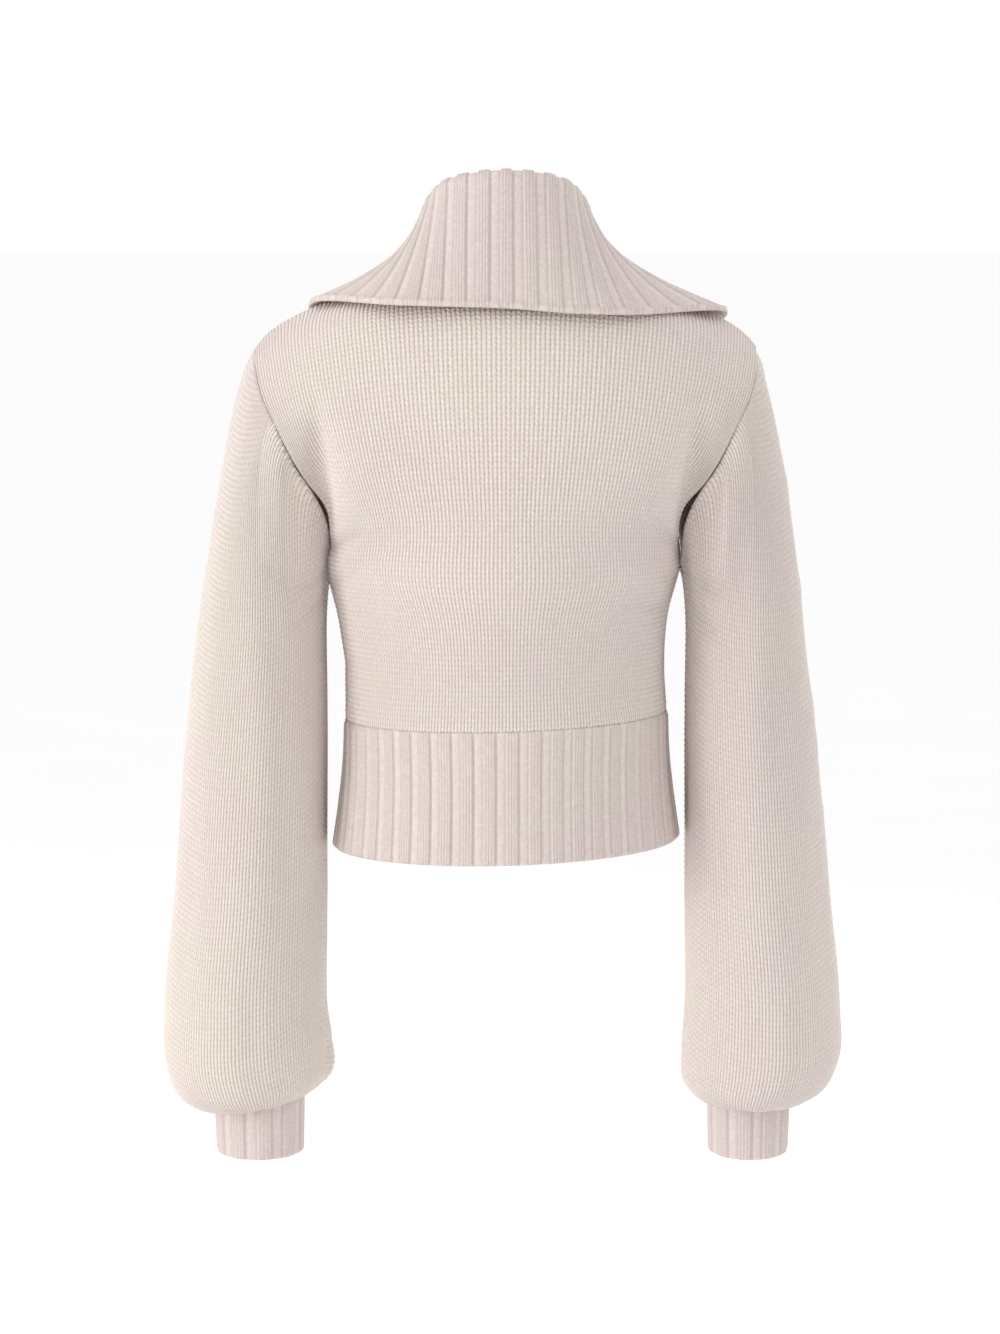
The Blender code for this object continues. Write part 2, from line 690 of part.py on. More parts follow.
def spline(keys, values, places):
    """Smooth values at places between keys, one column for each coordinate."""
    values = np.asarray(values, float)
    slope = np.diff(values, axis=0) / np.diff(keys)[:, None]
    tangent = np.empty_like(values)
    tangent[0] = slope[0]
    tangent[-1] = slope[-1]
    for i in range(1, len(keys) - 1):
        before = keys[i] - keys[i - 1]
        after = keys[i + 1] - keys[i]
        tangent[i] = (slope[i - 1] * after + slope[i] * before) / (before + after)
    places = np.asarray(places, float)
    i = np.clip(np.searchsorted(keys, places, side="right") - 1, 0, len(keys) - 2)
    width = np.asarray(keys)[i + 1] - np.asarray(keys)[i]
    t = ((places - np.asarray(keys)[i]) / width)[:, None]
    width = width[:, None]
    return ((2 * t**3 - 3 * t**2 + 1) * values[i] + (t**3 - 2 * t**2 + t) * width * tangent[i]
            + (3 * t**2 - 2 * t**3) * values[i + 1] + (t**3 - t**2) * width * tangent[i + 1])


def collar_curve(field, places):
    """The collar's fold, bend or edge at places from the right front end to the left one."""
    places = np.asarray(places, float)
    shares = [section.share for section in COLLAR_SECTIONS]
    values = [getattr(section, field) for section in COLLAR_SECTIONS]
    keys = np.array([-share for share in shares[:0:-1]] + shares)
    both = np.array([(-x, y, z) for x, y, z in values[:0:-1]] + list(values))
    return spline(keys, both, 2.0 * places - 1.0)


def collar_surface(neck_inner):
    """A function of place for the side of the collar that shows, from the neck seam to the edge."""

    def surface(places):
        base = along_line(neck_inner, places, False)
        fold = collar_curve("fold", places)
        bend = collar_curve("bend", places)
        edge = collar_curve("edge", places)
        before = np.clip(places - RUN_STEP, 0.0, 1.0)
        after = np.clip(places + RUN_STEP, 0.0, 1.0)
        run = unit(collar_curve("fold", after) - collar_curve("fold", before))
        outward = unit(np.cross(run, np.array([0.0, 0.0, 1.0])) * -1.0)
        upward = unit(np.cross(outward, run) * -1.0)
        stand_top = fold - FOLD_RADIUS * outward
        fall_top = fold + FOLD_RADIUS * outward
        rows = [base + NECK_SEAM_GAP * unit(stand_top - base)]
        for k in range(1, STAND_STEPS + 1):
            rows.append(base + (stand_top - base) * k / STAND_STEPS)
        for k in range(1, FOLD_STEPS + 1):
            angle = math.pi * k / FOLD_STEPS
            rows.append(fold - FOLD_RADIUS * (math.cos(angle) * outward - math.sin(angle) * upward))
        for t in FALL_SHARES:
            rows.append((1 - t) ** 2 * fall_top + 2 * t * (1 - t) * bend + t * t * edge)
        return np.array(rows)

    return surface


def make_collar(neck_outer, neck_inner):
    """The folded collar on the neckline, whose outer and inner seam points are given."""
    surface = collar_surface(neck_inner)
    rows = 1 + STAND_STEPS + FOLD_STEPS + len(FALL_SHARES)
    raised = np.ones(rows)
    raised[0] = 0.0
    raised[-1] = 0.0
    beads = np.zeros(rows)
    beads[-1] = EDGE_BEAD
    outer, at, inner, plain = ribbed_wall(
        surface, COLLAR_RIBS, False, raised, 1.0, beads, CENTRED_RIBS)
    lift = NECK_SEAM_GAP * unit(inner[1] - along_line(neck_outer, plain, False))
    inner[0] = along_line(neck_outer, plain, False) + lift
    finished("collar", wall_mesh("collar", outer, at, inner, plain, False), RIB_CREAM, 0.9)


# ---------------------------------------------------------------- bands and buttons


def front_line():
    """Centre front points and outward normals, from the hem to the neck."""
    sections = [front_of(ring) for ring in HEM_RINGS[:-1] + BODY_RINGS] + list(FRONT_SECTIONS)
    rows = [section_points(section, (0.0,), 0.0) for section in sections]
    rows.append(np.array([[0.0, FRONT_NECK_Y - 1.0, FRONT_NECK_Z]]))
    line = loft(rows, [ROW_STEPS] * (len(rows) - 1))[:, 0]
    run = unit(np.gradient(line, axis=0))
    return line, unit(np.cross(run, np.array([-1.0, 0.0, 0.0])))


def make_band(name, lift, profile, colour):
    """A button band down the centre front, lift millimetres proud of the panels."""
    line, normals = front_line()
    reach = BAND_HALF - SEAM_GAP / 2.0
    across = np.array([place * reach for place, _ in profile])
    raised = np.array([height * BAND_RAISE for _, height in profile])
    side = np.array([1.0, 0.0, 0.0])
    outer = (line[:, None] + across[None, :, None] * side
             + (lift + raised)[None, :, None] * normals[:, None])
    ends = np.array([-reach, reach])
    inner = line[:, None] + ends[None, :, None] * side + (lift - WALL) * normals[:, None]
    at = (across + reach) / (2.0 * reach)
    mesh = wall_mesh(name, outer, at, inner, np.array([0.0, 1.0]), False, leans=True)
    return finished(name, mesh, colour, 0.9)


def make_button(name, level):
    """A turned button lying on the outer band at a level."""
    line, normals = front_line()
    order = np.argsort(line[:, 2])
    place = np.array([np.interp(level, line[order, 2], line[order, k]) for k in range(3)])
    facing = unit(np.array([np.interp(level, line[order, 2], normals[order, k]) for k in range(3)]))
    upward = unit(np.cross(facing, np.array([1.0, 0.0, 0.0])))
    sideways = np.cross(upward, facing)
    middle = place + facing * (OVER_LIFT + BUTTON_LIFT)
    points = [middle + facing * BUTTON_PROFILE[0][1], middle + facing * BUTTON_PROFILE[-1][1]]
    for radius, height in BUTTON_PROFILE[1:-1]:
        for k in range(BUTTON_SEGMENTS):
            angle = 2.0 * math.pi * k / BUTTON_SEGMENTS
            spoke = math.cos(angle) * sideways + math.sin(angle) * upward
            points.append(middle + facing * height + spoke * radius)
    faces = []
    rings = len(BUTTON_PROFILE) - 2
    for k in range(BUTTON_SEGMENTS):
        after = (k + 1) % BUTTON_SEGMENTS
        faces.append((0, 2 + k, 2 + after))
        last = 2 + (rings - 1) * BUTTON_SEGMENTS
        faces.append((1, last + after, last + k))
        for i in range(rings - 1):
            low = 2 + i * BUTTON_SEGMENTS
            high = low + BUTTON_SEGMENTS
            faces.append((low + after, low + k, high + k, high + after))
    return finished(name, solid_mesh(name, leaned(np.array(points)) * MM, faces), SHELL, 0.35)


# ---------------------------------------------------------------- the garment


def whole_neckline(left_half, left_front):
    """The neckline from the right front end round the back to the left front end."""
    return np.concatenate([
        mirrored(left_front)[-1, : NECK_COLUMNS + 1],
        mirrored(left_half)[-1, :NECK_COLUMNS][::-1],
        left_half[-1, 1 : NECK_COLUMNS + 1],
        left_front[-1, :NECK_COLUMNS][::-1],
    ])


def weld_body(back, left_front, sleeves, neck):
    """The shared point directions of the panels, the sleeves and the start of the collar and cuffs."""
    welded = Welded()
    welded.add(back, False, -1.0)
    welded.add(left_front, False, 1.0)
    welded.add(mirrored(left_front), False, -1.0)
    stand_top = collar_curve("fold", np.linspace(0.0, 1.0, len(neck)))
    welded.add(np.stack([neck, neck + STAND_GUIDE * unit(stand_top - neck)]), False, -1.0)
    for grid, side in sleeves:
        welded.add(grid, True, side)
        welded.add(np.stack([grid[-1], grid[-1] - np.array([0.0, 0.0, STAND_GUIDE])]), True, side)
        welded.fix(grid[0, 0], (0.0, 0.0, -1.0))
    return welded


def level_bottom(offsets):
    """Offsets that stay level along a panel's lowest row, over the hem."""
    offsets = offsets.copy()
    offsets[0, :, 2] = 0.0
    offsets[0] = unit(offsets[0])
    return offsets


def square_front(offsets):
    """Offsets that point straight through the cloth along a front's button band."""
    offsets = offsets.copy()
    offsets[:, 0, 0] = 0.0
    offsets[:, 0] = unit(offsets[:, 0])
    return offsets


def make_body(back, left_front, welded):
    """The back and the two fronts."""
    shift = inset_vectors(back, True, True, False, True)
    neck_span = slice(HALF_COLUMNS - NECK_COLUMNS + 1, HALF_COLUMNS + NECK_COLUMNS)
    shift[-1, neck_span] = 0.0
    plain_wall("back_panel", back, level_bottom(welded.offsets(back)), shift, True)
    for name, grid in (("left_front", left_front), ("right_front", mirrored(left_front))):
        shift = inset_vectors(grid, True, True, False, True)
        shift[-1, 1:NECK_COLUMNS] = 0.0
        plain_wall(name, grid, square_front(level_bottom(welded.offsets(grid))), shift, True)


def make_sleeve(side_name, grid, side, spread, welded):
    """A sleeve in a back and a front half, and its cuff."""
    offsets = welded.offsets(grid)
    half = grid.shape[1] // 2
    round_again = [*range(half, grid.shape[1]), 0]
    for half_name, columns in (("back", list(range(half + 1))), ("front", round_again)):
        part = grid[:, columns]
        shift = inset_vectors(part, True, True, True, False)
        plain_wall(f"{side_name}_sleeve_{half_name}", part, offsets[:, columns], shift, False)
    make_cuff(side_name + "_cuff", grid[-1], grid[-1] - WALL * offsets[-1], side, spread)


def main():
    for item in list(bpy.data.objects):
        bpy.data.objects.remove(item, do_unlink=True)

    left_half = half_back()
    back = back_grid()
    left_front = left_front_grid(left_half)
    loop = armhole(left_half, left_front)
    left_sleeve = sleeve_grid(loop, LEFT_TILT, LEFT_SPREAD)
    right_sleeve = mirrored(sleeve_grid(loop, RIGHT_TILT, RIGHT_SPREAD))
    neck = whole_neckline(left_half, left_front)
    welded = weld_body(back, left_front, ((left_sleeve, 1.0), (right_sleeve, -1.0)), neck)

    make_body(back, left_front, welded)
    make_sleeve("left", left_sleeve, 1.0, LEFT_SPREAD, welded)
    make_sleeve("right", right_sleeve, -1.0, RIGHT_SPREAD, welded)
    make_hem()
    make_collar(neck, neck - WALL * welded.offsets(neck[None])[0])
    make_band("right_button_band", OVER_LIFT, BAND_PROFILE, RIB_CREAM)
    make_band("left_button_band", UNDER_LIFT, PLAIN_PROFILE, RIB_CREAM)
    for number, level in enumerate(BUTTON_LEVELS, start=1):
        make_button(f"button_{number}", level)


main()
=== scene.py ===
"""The looks of a cropped cardigan in chunky knit, worn and hollow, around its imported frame.

Every cloth piece is a closed wall of real stitches: stockinette on the body and the balloon
sleeves, a wide rib on the collar, the hem and the cuffs. Sizes are in millimetres until a mesh is
made. +Z is up, the front faces -Y and the wearer's left is +X.
"""

from __future__ import annotations

import logging
import math
from collections.abc import Callable, Sequence
from dataclasses import dataclass, replace
from enum import Enum

import bpy
import numpy as np
from mathutils import Matrix, Vector


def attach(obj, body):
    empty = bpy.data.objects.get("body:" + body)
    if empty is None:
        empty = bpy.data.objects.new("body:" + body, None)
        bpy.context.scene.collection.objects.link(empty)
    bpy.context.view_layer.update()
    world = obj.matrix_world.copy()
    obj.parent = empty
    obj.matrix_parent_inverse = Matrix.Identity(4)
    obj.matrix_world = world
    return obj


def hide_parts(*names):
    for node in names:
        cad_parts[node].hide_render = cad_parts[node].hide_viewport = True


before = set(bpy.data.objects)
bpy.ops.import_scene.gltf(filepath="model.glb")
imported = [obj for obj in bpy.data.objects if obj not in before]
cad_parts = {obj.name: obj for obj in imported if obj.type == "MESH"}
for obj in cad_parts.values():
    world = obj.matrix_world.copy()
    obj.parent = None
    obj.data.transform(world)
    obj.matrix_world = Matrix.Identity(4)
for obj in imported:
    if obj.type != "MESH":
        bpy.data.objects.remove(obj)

Array = np.ndarray
Item = bpy.types.Object
Socket = bpy.types.NodeSocket
Vec = tuple[float, float, float]
Colour = tuple[float, float, float, float]
Shape = Callable[[np.ndarray], np.ndarray]  # from places across a piece to its dense points

MM = 0.001
LOG = logging.getLogger("cardigan")


class Side(Enum):
    """The wearer's side, as the sign of X."""

    LEFT = 1.0
    RIGHT = -1.0

    @property
    def word(self) -> str:
        """The side's name in a piece's name."""
        return self.name.lower()

    def own(self, points: Array) -> Array:
        """Left-side points on this side of the body."""
        return points * np.array([self.value, 1.0, 1.0])


class Border(Enum):
    """How a wall ends."""

    SEAM = "sewn to a neighbour"
    JOINED = "knitted on to a neighbour"
    PLAIN = "free, softly rounded"
    ROLLED = "bound off in a roll"


# The least share of the stitches' relief at a border, and where the relief starts and is full.
FADES = {
    Border.SEAM: (0.25, 0.2, 2.4),
    Border.JOINED: (0.30, 0.0, 5.0),
    Border.PLAIN: (0.25, 0.2, 2.4),
    Border.ROLLED: (0.0, 2.6, 5.0),
}


# ---- small mathematics


def smooth(low: float, high: float, value: Array | float) -> Array:
    """Rises from 0 at low to 1 at high with level ends."""
    part = np.clip((np.asarray(value, float) - low) / (high - low), 0.0, 1.0)
    return part * part * (3.0 - 2.0 * part)


def bell(value: Array, middle: float, width: float) -> Array:
    """Rises to 1 at the middle and dies away within a few widths."""
    return np.exp(-(((value - middle) / width) ** 2))


def unit(vectors: Array) -> Array:
    """Each vector of an array at length one."""
    return vectors / np.maximum(np.linalg.norm(vectors, axis=-1, keepdims=True), 1e-12)


def mirrored(points: Array) -> Array:
    """The same points on the other side of the body."""
    return Side.RIGHT.own(points)


def travelled(points: Array, axis: int = 0) -> Array:
    """Distances from the first point of each line along an axis of a grid."""
    run = np.linalg.norm(np.diff(points, axis=axis), axis=-1)
    return np.insert(np.cumsum(run, axis=axis), 0, 0.0, axis=axis)


def hermite(t: Array, start: Array, end: Array, leave: Array, arrive: Array) -> Array:
    """A cubic at places t from start to end, whose directions there are leave and arrive."""
    return ((2 * t**3 - 3 * t**2 + 1) * start + (t**3 - 2 * t**2 + t) * leave
            + (3 * t**2 - 2 * t**3) * end + (t**3 - t**2) * arrive)


def tangents(known: Array, gaps: Array) -> Array:
    """Slopes of a smooth line through known values.

    Args:
        known: The values, one row each.
        gaps: The distance from each row to the next.

    Returns:
        One row of slopes for each row of values.
    """
    gaps = gaps.reshape(-1, *[1] * (known.ndim - 1))
    slope = np.diff(known, axis=0) / gaps
    inner = (slope[:-1] * gaps[1:] + slope[1:] * gaps[:-1]) / (gaps[:-1] + gaps[1:])
    return np.concatenate([slope[:1], inner, slope[-1:]])


def loft(rows: Sequence[Array], steps: int) -> Array:
    """A smooth surface through rows of points.

    Args:
        rows: Lines of as many points each.
        steps: Steps from each row to the next.

    Returns:
        The surface's points, row by row.
    """
    known = np.asarray(rows, float)
    span = np.linalg.norm(np.diff(known, axis=0), axis=-1).mean(axis=-1)
    slope = tangents(known, span)
    t = (np.arange(steps) + 1.0)[:, None, None] / steps
    found = [known[:1]]
    for i, gap in enumerate(span):
        found.append(hermite(t, known[i], known[i + 1], gap * slope[i], gap * slope[i + 1]))
    return np.concatenate(found)


def spline(keys: Array, values: Array, places: Array) -> Array:
    """Smooth values at places between keys.

    Args:
        keys: Rising places of the known values.
        values: The known values, one row each.
        places: Where values are wanted.

    Returns:
        One row of values for each place.
    """
    slope = tangents(values, np.diff(keys))
    i = np.clip(np.searchsorted(keys, places, side="right") - 1, 0, len(keys) - 2)
    width = (keys[i + 1] - keys[i])[:, None]
    t = (places - keys[i])[:, None] / width
    return hermite(t, values[i], values[i + 1], width * slope[i], width * slope[i + 1])


def along_rows(line: Array, number: Array) -> Array:
    """Points of a line at fractional row numbers, joined straight."""
    rows = np.arange(len(line))
    return np.stack([np.interp(number, rows, line[:, k]) for k in range(3)], axis=-1)


def normals_of(grid: Array, closed: bool) -> Array:
    """Unit normals of a grid of points, across times up.

    Args:
        grid: The points, row by row.
        closed: Whether each row is a ring.

    Returns:
        One normal for each point.
    """
    if closed:
        across = np.roll(grid, -1, axis=1) - np.roll(grid, 1, axis=1)
    else:
        across = np.gradient(grid, axis=1)
    return unit(np.cross(across, np.gradient(grid, axis=0)))


def circle(radius: float, height: float, sides: int, middle: tuple[float, float] = (0.0, 0.0)) -> Array:
    """Points of a level circle, anticlockwise from +Y."""
    angle = math.pi / 2.0 + 2.0 * math.pi * np.arange(sides) / sides
    return np.stack([np.cos(angle), np.sin(angle), np.ones(sides)], axis=-1) * (radius, radius, height) + (
        *middle, 0.0)


# ---- creases

UP = (0.0, 0.0, 1.0)
DOWN = (0.0, 0.0, -1.0)
OUT = (1.0, 0.0, 0.0)
IN = (-1.0, 0.0, 0.0)


@dataclass(frozen=True)
class Crease:
    """A soft trough between two places, or a ridge where its depth is negative.

    A crease that runs right through reaches both faces of a piece, whatever their Y. Sway is the
    direction in which its end moves where one side of the body differs from the other.
    """

    start: Vec
    end: Vec
    width: float
    depth: float
    through: bool = False
    sway: Vec = (0.0, 0.0, 0.0)

    def on(self, side: Side, swing: float = 0.0) -> Crease:
        """A left-side crease on a side of the body, with its end moved by swing along its sway."""
        end = np.array(self.end) + swing * np.array(self.sway)
        return replace(self, start=tuple(side.own(np.array(self.start))), end=tuple(side.own(end)))

    def press(self, points: Array) -> Array:
        """How far the crease sinks each point, in millimetres.

        Args:
            points: The surface's points.

        Returns:
            One depth for each point.
        """
        level_ends = 0.08  # the share of its length over which an end keeps its depth
        keep = np.array([1.0, 0.0 if self.through else 1.0, 1.0])
        run = (np.array(self.end, float) - self.start) * keep
        reach = (points - self.start) * keep
        along = np.clip((reach @ run) / (run @ run), 0.0, 1.0)
        away = np.linalg.norm(reach - along[..., None] * run, axis=-1)
        taper = np.sin(math.pi * np.clip(along, level_ends, 1.0 - level_ends)) ** 0.7
        return self.depth * taper * bell(away, 0.0, self.width)


WAIST_RIDGE = Crease((125, 0, -186), (115, 0, -292), 20.0, -5.0, through=True)


# ---- stitches


@dataclass(frozen=True)
class Wale:
    """One line of points along the wales of a repeat.

    Place is its share of the repeat, raised its height over the cloth, swell how far a course
    lifts it, slant how far its courses run ahead, as a share of a course, and shade how much
    painted shade darkens the yarn's colour there, in place of the shadow in a groove.
    """

    place: float
    raised: float
    swell: float
    slant: float = 0.0
    shade: float = 0.0


# The last number of a wale is its painted shade, strongest in the grooves between the legs.
STOCKINETTE = (
    Wale(0.00, -0.46, 0.14, 0.36, 0.30),
    Wale(0.25, 0.06, 0.56),
    Wale(0.50, -0.46, 0.30, -0.36, 0.40),
    Wale(0.75, 0.06, 0.56),
)
RIB_RAISE = 1.20
HALF_RIB = (
    Wale(0.000, RIB_RAISE - 0.34, 0.08, 0.3, 0.22),
    Wale(0.066, RIB_RAISE + 0.08, 0.22),
    Wale(0.132, RIB_RAISE - 0.30, 0.08, -0.3, 0.18),
    Wale(0.198, RIB_RAISE + 0.02, 0.22),
    Wale(0.262, RIB_RAISE - 0.80, 0.12, 0.2, 0.20),
    Wale(0.305, -0.48, 0.08, 0.0, 0.75),
    Wale(0.385, 0.02, 0.14),
    Wale(0.500, 0.06, 0.16),
)
WIDE_RIB = HALF_RIB + tuple(replace(wale, place=1.0 - wale.place) for wale in HALF_RIB[-2:0:-1])


@dataclass(frozen=True)
class Knit:
    """A knit structure: its repeat across, its courses, and how far each line of a course swells."""

    wales: tuple[Wale, ...]
    course: float
    lines: tuple[float, ...] = (0.0, 1.0, 0.85)

    def places(self, repeats: int, closed: bool) -> Array:
        """Places from 0 to 1 of every line across a piece of so many repeats."""
        found = [(k + wale.place) / repeats for k in range(repeats) for wale in self.wales]
        return np.array(found if closed else [*found, 1.0])

    def column(self, name: str, count: int) -> Array:
        """One field of the wales for each of count lines across."""
        return np.resize([getattr(wale, name) for wale in self.wales], count)


@dataclass
class Lattice:
    """One side of a wall, cut into lines at equal distances, whose upper ends may differ.

    Up is each point's distance from the lower edge, reach the length of each column and last the
    number of its last line.
    """

    places: Array
    closed: bool
    up: Array
    reach: Array
    last: Array
    points: Array
    facing: Array

    @classmethod
    def cut(cls, dense: Array, outward: Array, places: Array, closed: bool, step: float,
            ahead: Array) -> Lattice:
        """Cuts a dense surface into lines.

        Args:
            dense: Dense points, lowest row first, one column for each line across.
            outward: Their outward normals.
            places: The place of each column, from 0 to 1.
            closed: Whether each row is a ring.
            step: Distance between lines along a column.
            ahead: How far each column's lines run ahead, in millimetres.

        Returns:
            The lattice.
        """
        shortest = 0.4 * step
        length = travelled(dense)
        reach = length[-1]
        level = np.arange(int((reach.max() + abs(ahead).max()) / step) + 3)[:, None]
        up = level * step + ahead
        up[0] = 0.0
        last = (up < reach - shortest).sum(axis=0)
        up = np.where(level < last, np.minimum(up, reach), reach)[:last.max() + 1]
        ticks = np.arange(len(dense))
        rows = np.stack([np.interp(wanted, known, ticks) for wanted, known in zip(up.T, length.T)], axis=1)
        low = np.minimum(rows.astype(int), len(dense) - 2)
        part = (rows - low)[..., None]
        column = np.arange(len(places))
        points, facing = (grid[low, column] * (1.0 - part) + grid[low + 1, column] * part
                          for grid in (dense, outward))
        return cls(places, closed, up, reach, last, points, unit(facing))

    @property
    def used(self) -> Array:
        """Which points of the grid are kept."""
        return np.arange(len(self.up))[:, None] <= self.last

    @property
    def index(self) -> Array:
        """The number of each kept point, and above a column's end that of its last one."""
        number = np.cumsum(self.used).reshape(self.used.shape) - 1
        return np.where(self.used, number, number[self.last, np.arange(len(self.last))])

    def faces(self) -> list[tuple[Array, Array]]:
        """The faces between the kept points.

        Returns:
            Quads and two kinds of triangles, each with the lattice column of every corner.
        """
        wide = len(self.places)
        here = np.arange(wide if self.closed else wide - 1)
        following = (here + 1) % wide
        low, high = self.index[:-1], self.index[1:]
        cells = np.stack([low[:, here], low[:, following], high[:, following], high[:, here]], axis=-1)
        columns = np.broadcast_to(here[:, None] + np.array([0, 1, 1, 0]), cells.shape)
        level = np.arange(len(low))[:, None]
        left, right = level < self.last[here], level < self.last[following]
        kinds = ((left & right, [0, 1, 2, 3]), (left & ~right, [0, 1, 3]), (right & ~left, [0, 1, 2]))
        return [(cells[kind][:, corners], columns[kind][:, corners]) for kind, corners in kinds]

    def line(self, edge: str) -> tuple[Array, Array]:
        """The points of an edge and their places from 0 to 1.

        Args:
            edge: low, high, left or right.

        Returns:
            Point numbers and places.
        """
        wide = len(self.places)
        if edge in ("left", "right"):
            column = 0 if edge == "left" else wide - 1
            rows = np.arange(self.last[column] + 1)
            return self.index[rows, column], self.up[rows, column] / self.reach[column]
        numbers = self.index[0 if edge == "low" else self.last, np.arange(wide)]
        if self.closed:
            numbers = np.append(numbers, numbers[0])
        return numbers, np.linspace(0.0, 1.0, len(numbers))


def zipped(first: Array, first_at: Array, second: Array, second_at: Array) -> Array:
    """Triangles between two lines of points.

    Args:
        first: Point numbers of one line.
        first_at: Their places from 0 to 1.
        second: Point numbers of the other line.
        second_at: Their places from 0 to 1.

    Returns:
        The triangles.
    """
    faces = []
    i = j = 0
    while i < len(first) - 1 or j < len(second) - 1:
        if j == len(second) - 1 or (
                i < len(first) - 1 and first_at[i + 1] + first_at[i] <= second_at[j + 1] + second_at[j]):
            faces.append((first[i], first[i + 1], second[j]))
            i += 1
        else:
            faces.append((first[i], second[j + 1], second[j]))
            j += 1
    return np.array(faces)


@dataclass
class Wall:
    """A knitted wall: its shape, its stitches and how it ends on each side."""

    name: str
    surface: Shape
    knit: Knit
    repeats: int
    turn: float
    closed: bool = False
    thickness: float = 2.4
    low: Border = Border.SEAM
    high: Border = Border.SEAM
    left: Border = Border.SEAM
    right: Border = Border.SEAM
    creases: tuple[Crease, ...] = ()
    inner_step: float = 5.0
    inner_every: int = 2
    gap: float = 0.02
    after: Shape | None = None
    # Painted shade: lighter on the lines where a course swells, and even on the plain inner side.
    line_shade: float = 0.25
    inner_shade: float = 0.15
    inner_roll: float = 0.35
    seam_dip: float = 0.22
    seam_dip_width: float = 0.8
    seam_ridge: float = 0.40
    seam_ridge_at: float = 2.0
    seam_ridge_width: float = 1.3
    join_dip: float = 0.12
    join_dip_width: float = 1.2
    round_share: float = 0.45
    round_width: float = 1.8
    roll_dip: float = 0.9
    roll_rise: float = 1.9
    roll_radius: float = 2.1

    def depth_near(self, border: Border, away: Array) -> Array:
        """How far a side of the wall sinks near an edge.

        Args:
            border: How the wall ends there.
            away: Distances from the edge.

        Returns:
            The depth at each point.
        """
        if border is Border.SEAM:
            return (self.seam_dip * bell(away, 0.0, self.seam_dip_width)
                    - self.seam_ridge * bell(away, self.seam_ridge_at, self.seam_ridge_width))
        if border is Border.JOINED:
            return self.join_dip * bell(away, 0.0, self.join_dip_width)
        if border is Border.PLAIN:
            fall = np.clip(1.0 - away / self.round_width, 0.0, 1.0)
            return self.round_share * self.thickness * (1.0 - np.sqrt(1.0 - fall**2))
        rise = np.sqrt(np.clip(1.0 - ((away - self.roll_radius) / self.roll_radius) ** 2, 0.0, 1.0))
        return self.roll_dip * (1.0 - smooth(0.0, 2.0, away)) - self.roll_rise * rise

    def fade_near(self, border: Border, away: Array) -> Array:
        """The share of the stitches' relief at distances away from an edge."""
        least, start, end = FADES[border]
        return least + (1.0 - least) * smooth(start, end, away)

    def edges_of(self, side: Lattice) -> list[tuple[Border, Array]]:
        """Each border with the distance of every point from it.

        Args:
            side: A side of the wall.

        Returns:
            The lower and upper border, then the left and right ones of an open wall.
        """
        across = travelled(side.points, axis=1)
        found = [(self.low, side.up), (self.high, side.reach - side.up),
                 (self.left, across), (self.right, across[:, -1:] - across)]
        return found[:2] if self.closed else found

    def dense_surface(self, places: Array) -> tuple[Array, Array]:
        """The surface pulled back a hair from its side seams, with its creases pressed in.

        Args:
            places: The places of its columns.

        Returns:
            Its dense points and their outward normals.
        """
        flat = self.surface(places)
        dense = flat.copy()
        if not self.closed:
            dense[:, 0] += self.gap * unit(flat[:, 1] - flat[:, 0])
            dense[:, -1] += self.gap * unit(flat[:, -2] - flat[:, -1])
        sunk = sum((crease.press(dense) for crease in self.creases), np.zeros(dense.shape[:2]))
        dense = dense - normals_of(dense, self.closed) * self.turn * sunk[..., None]
        return dense, normals_of(dense, self.closed) * self.turn

    def build(self) -> Item:
        """Makes the wall.

        Returns:
            The object, with stitch coordinates in its map and its painted shade in an attribute.
        """
        knit = self.knit
        places = knit.places(self.repeats, self.closed)
        count = len(places)
        dense, outward = self.dense_surface(places)
        outer = Lattice.cut(dense, outward, places, self.closed, knit.course / len(knit.lines),
                            knit.column("slant", count) * knit.course)
        lines = np.resize(knit.lines, len(outer.up))[:, None]
        height = knit.column("raised", count) + knit.column("swell", count) * lines
        sunk = np.zeros_like(height)
        for border, away in self.edges_of(outer):
            height = height * self.fade_near(border, away)
            sunk += self.depth_near(border, away)
        outer.points = outer.points + outer.facing * (height - sunk)[..., None]

        every = np.arange(0, count, self.inner_every)
        if not self.closed and every[-1] != count - 1:
            every = np.append(every, count - 1)
        inner = Lattice.cut(dense[:, every], outward[:, every], places[every], self.closed,
                            self.inner_step, np.zeros(1))
        depth = np.full(inner.up.shape, self.thickness)
        for border, away in self.edges_of(inner):
            share = {Border.PLAIN: 1.0, Border.ROLLED: self.inner_roll}.get(border, 0.0)
            depth -= share * self.depth_near(border, away)
        inner.points = inner.points - inner.facing * depth[..., None]
        if self.after:
            outer.points, inner.points = self.after(outer.points), self.after(inner.points)
        # The wales' painted shade, lighter where a course swells.
        return self.joined(outer, inner, knit.column("shade", count) * (1.0 - self.line_shade * lines))

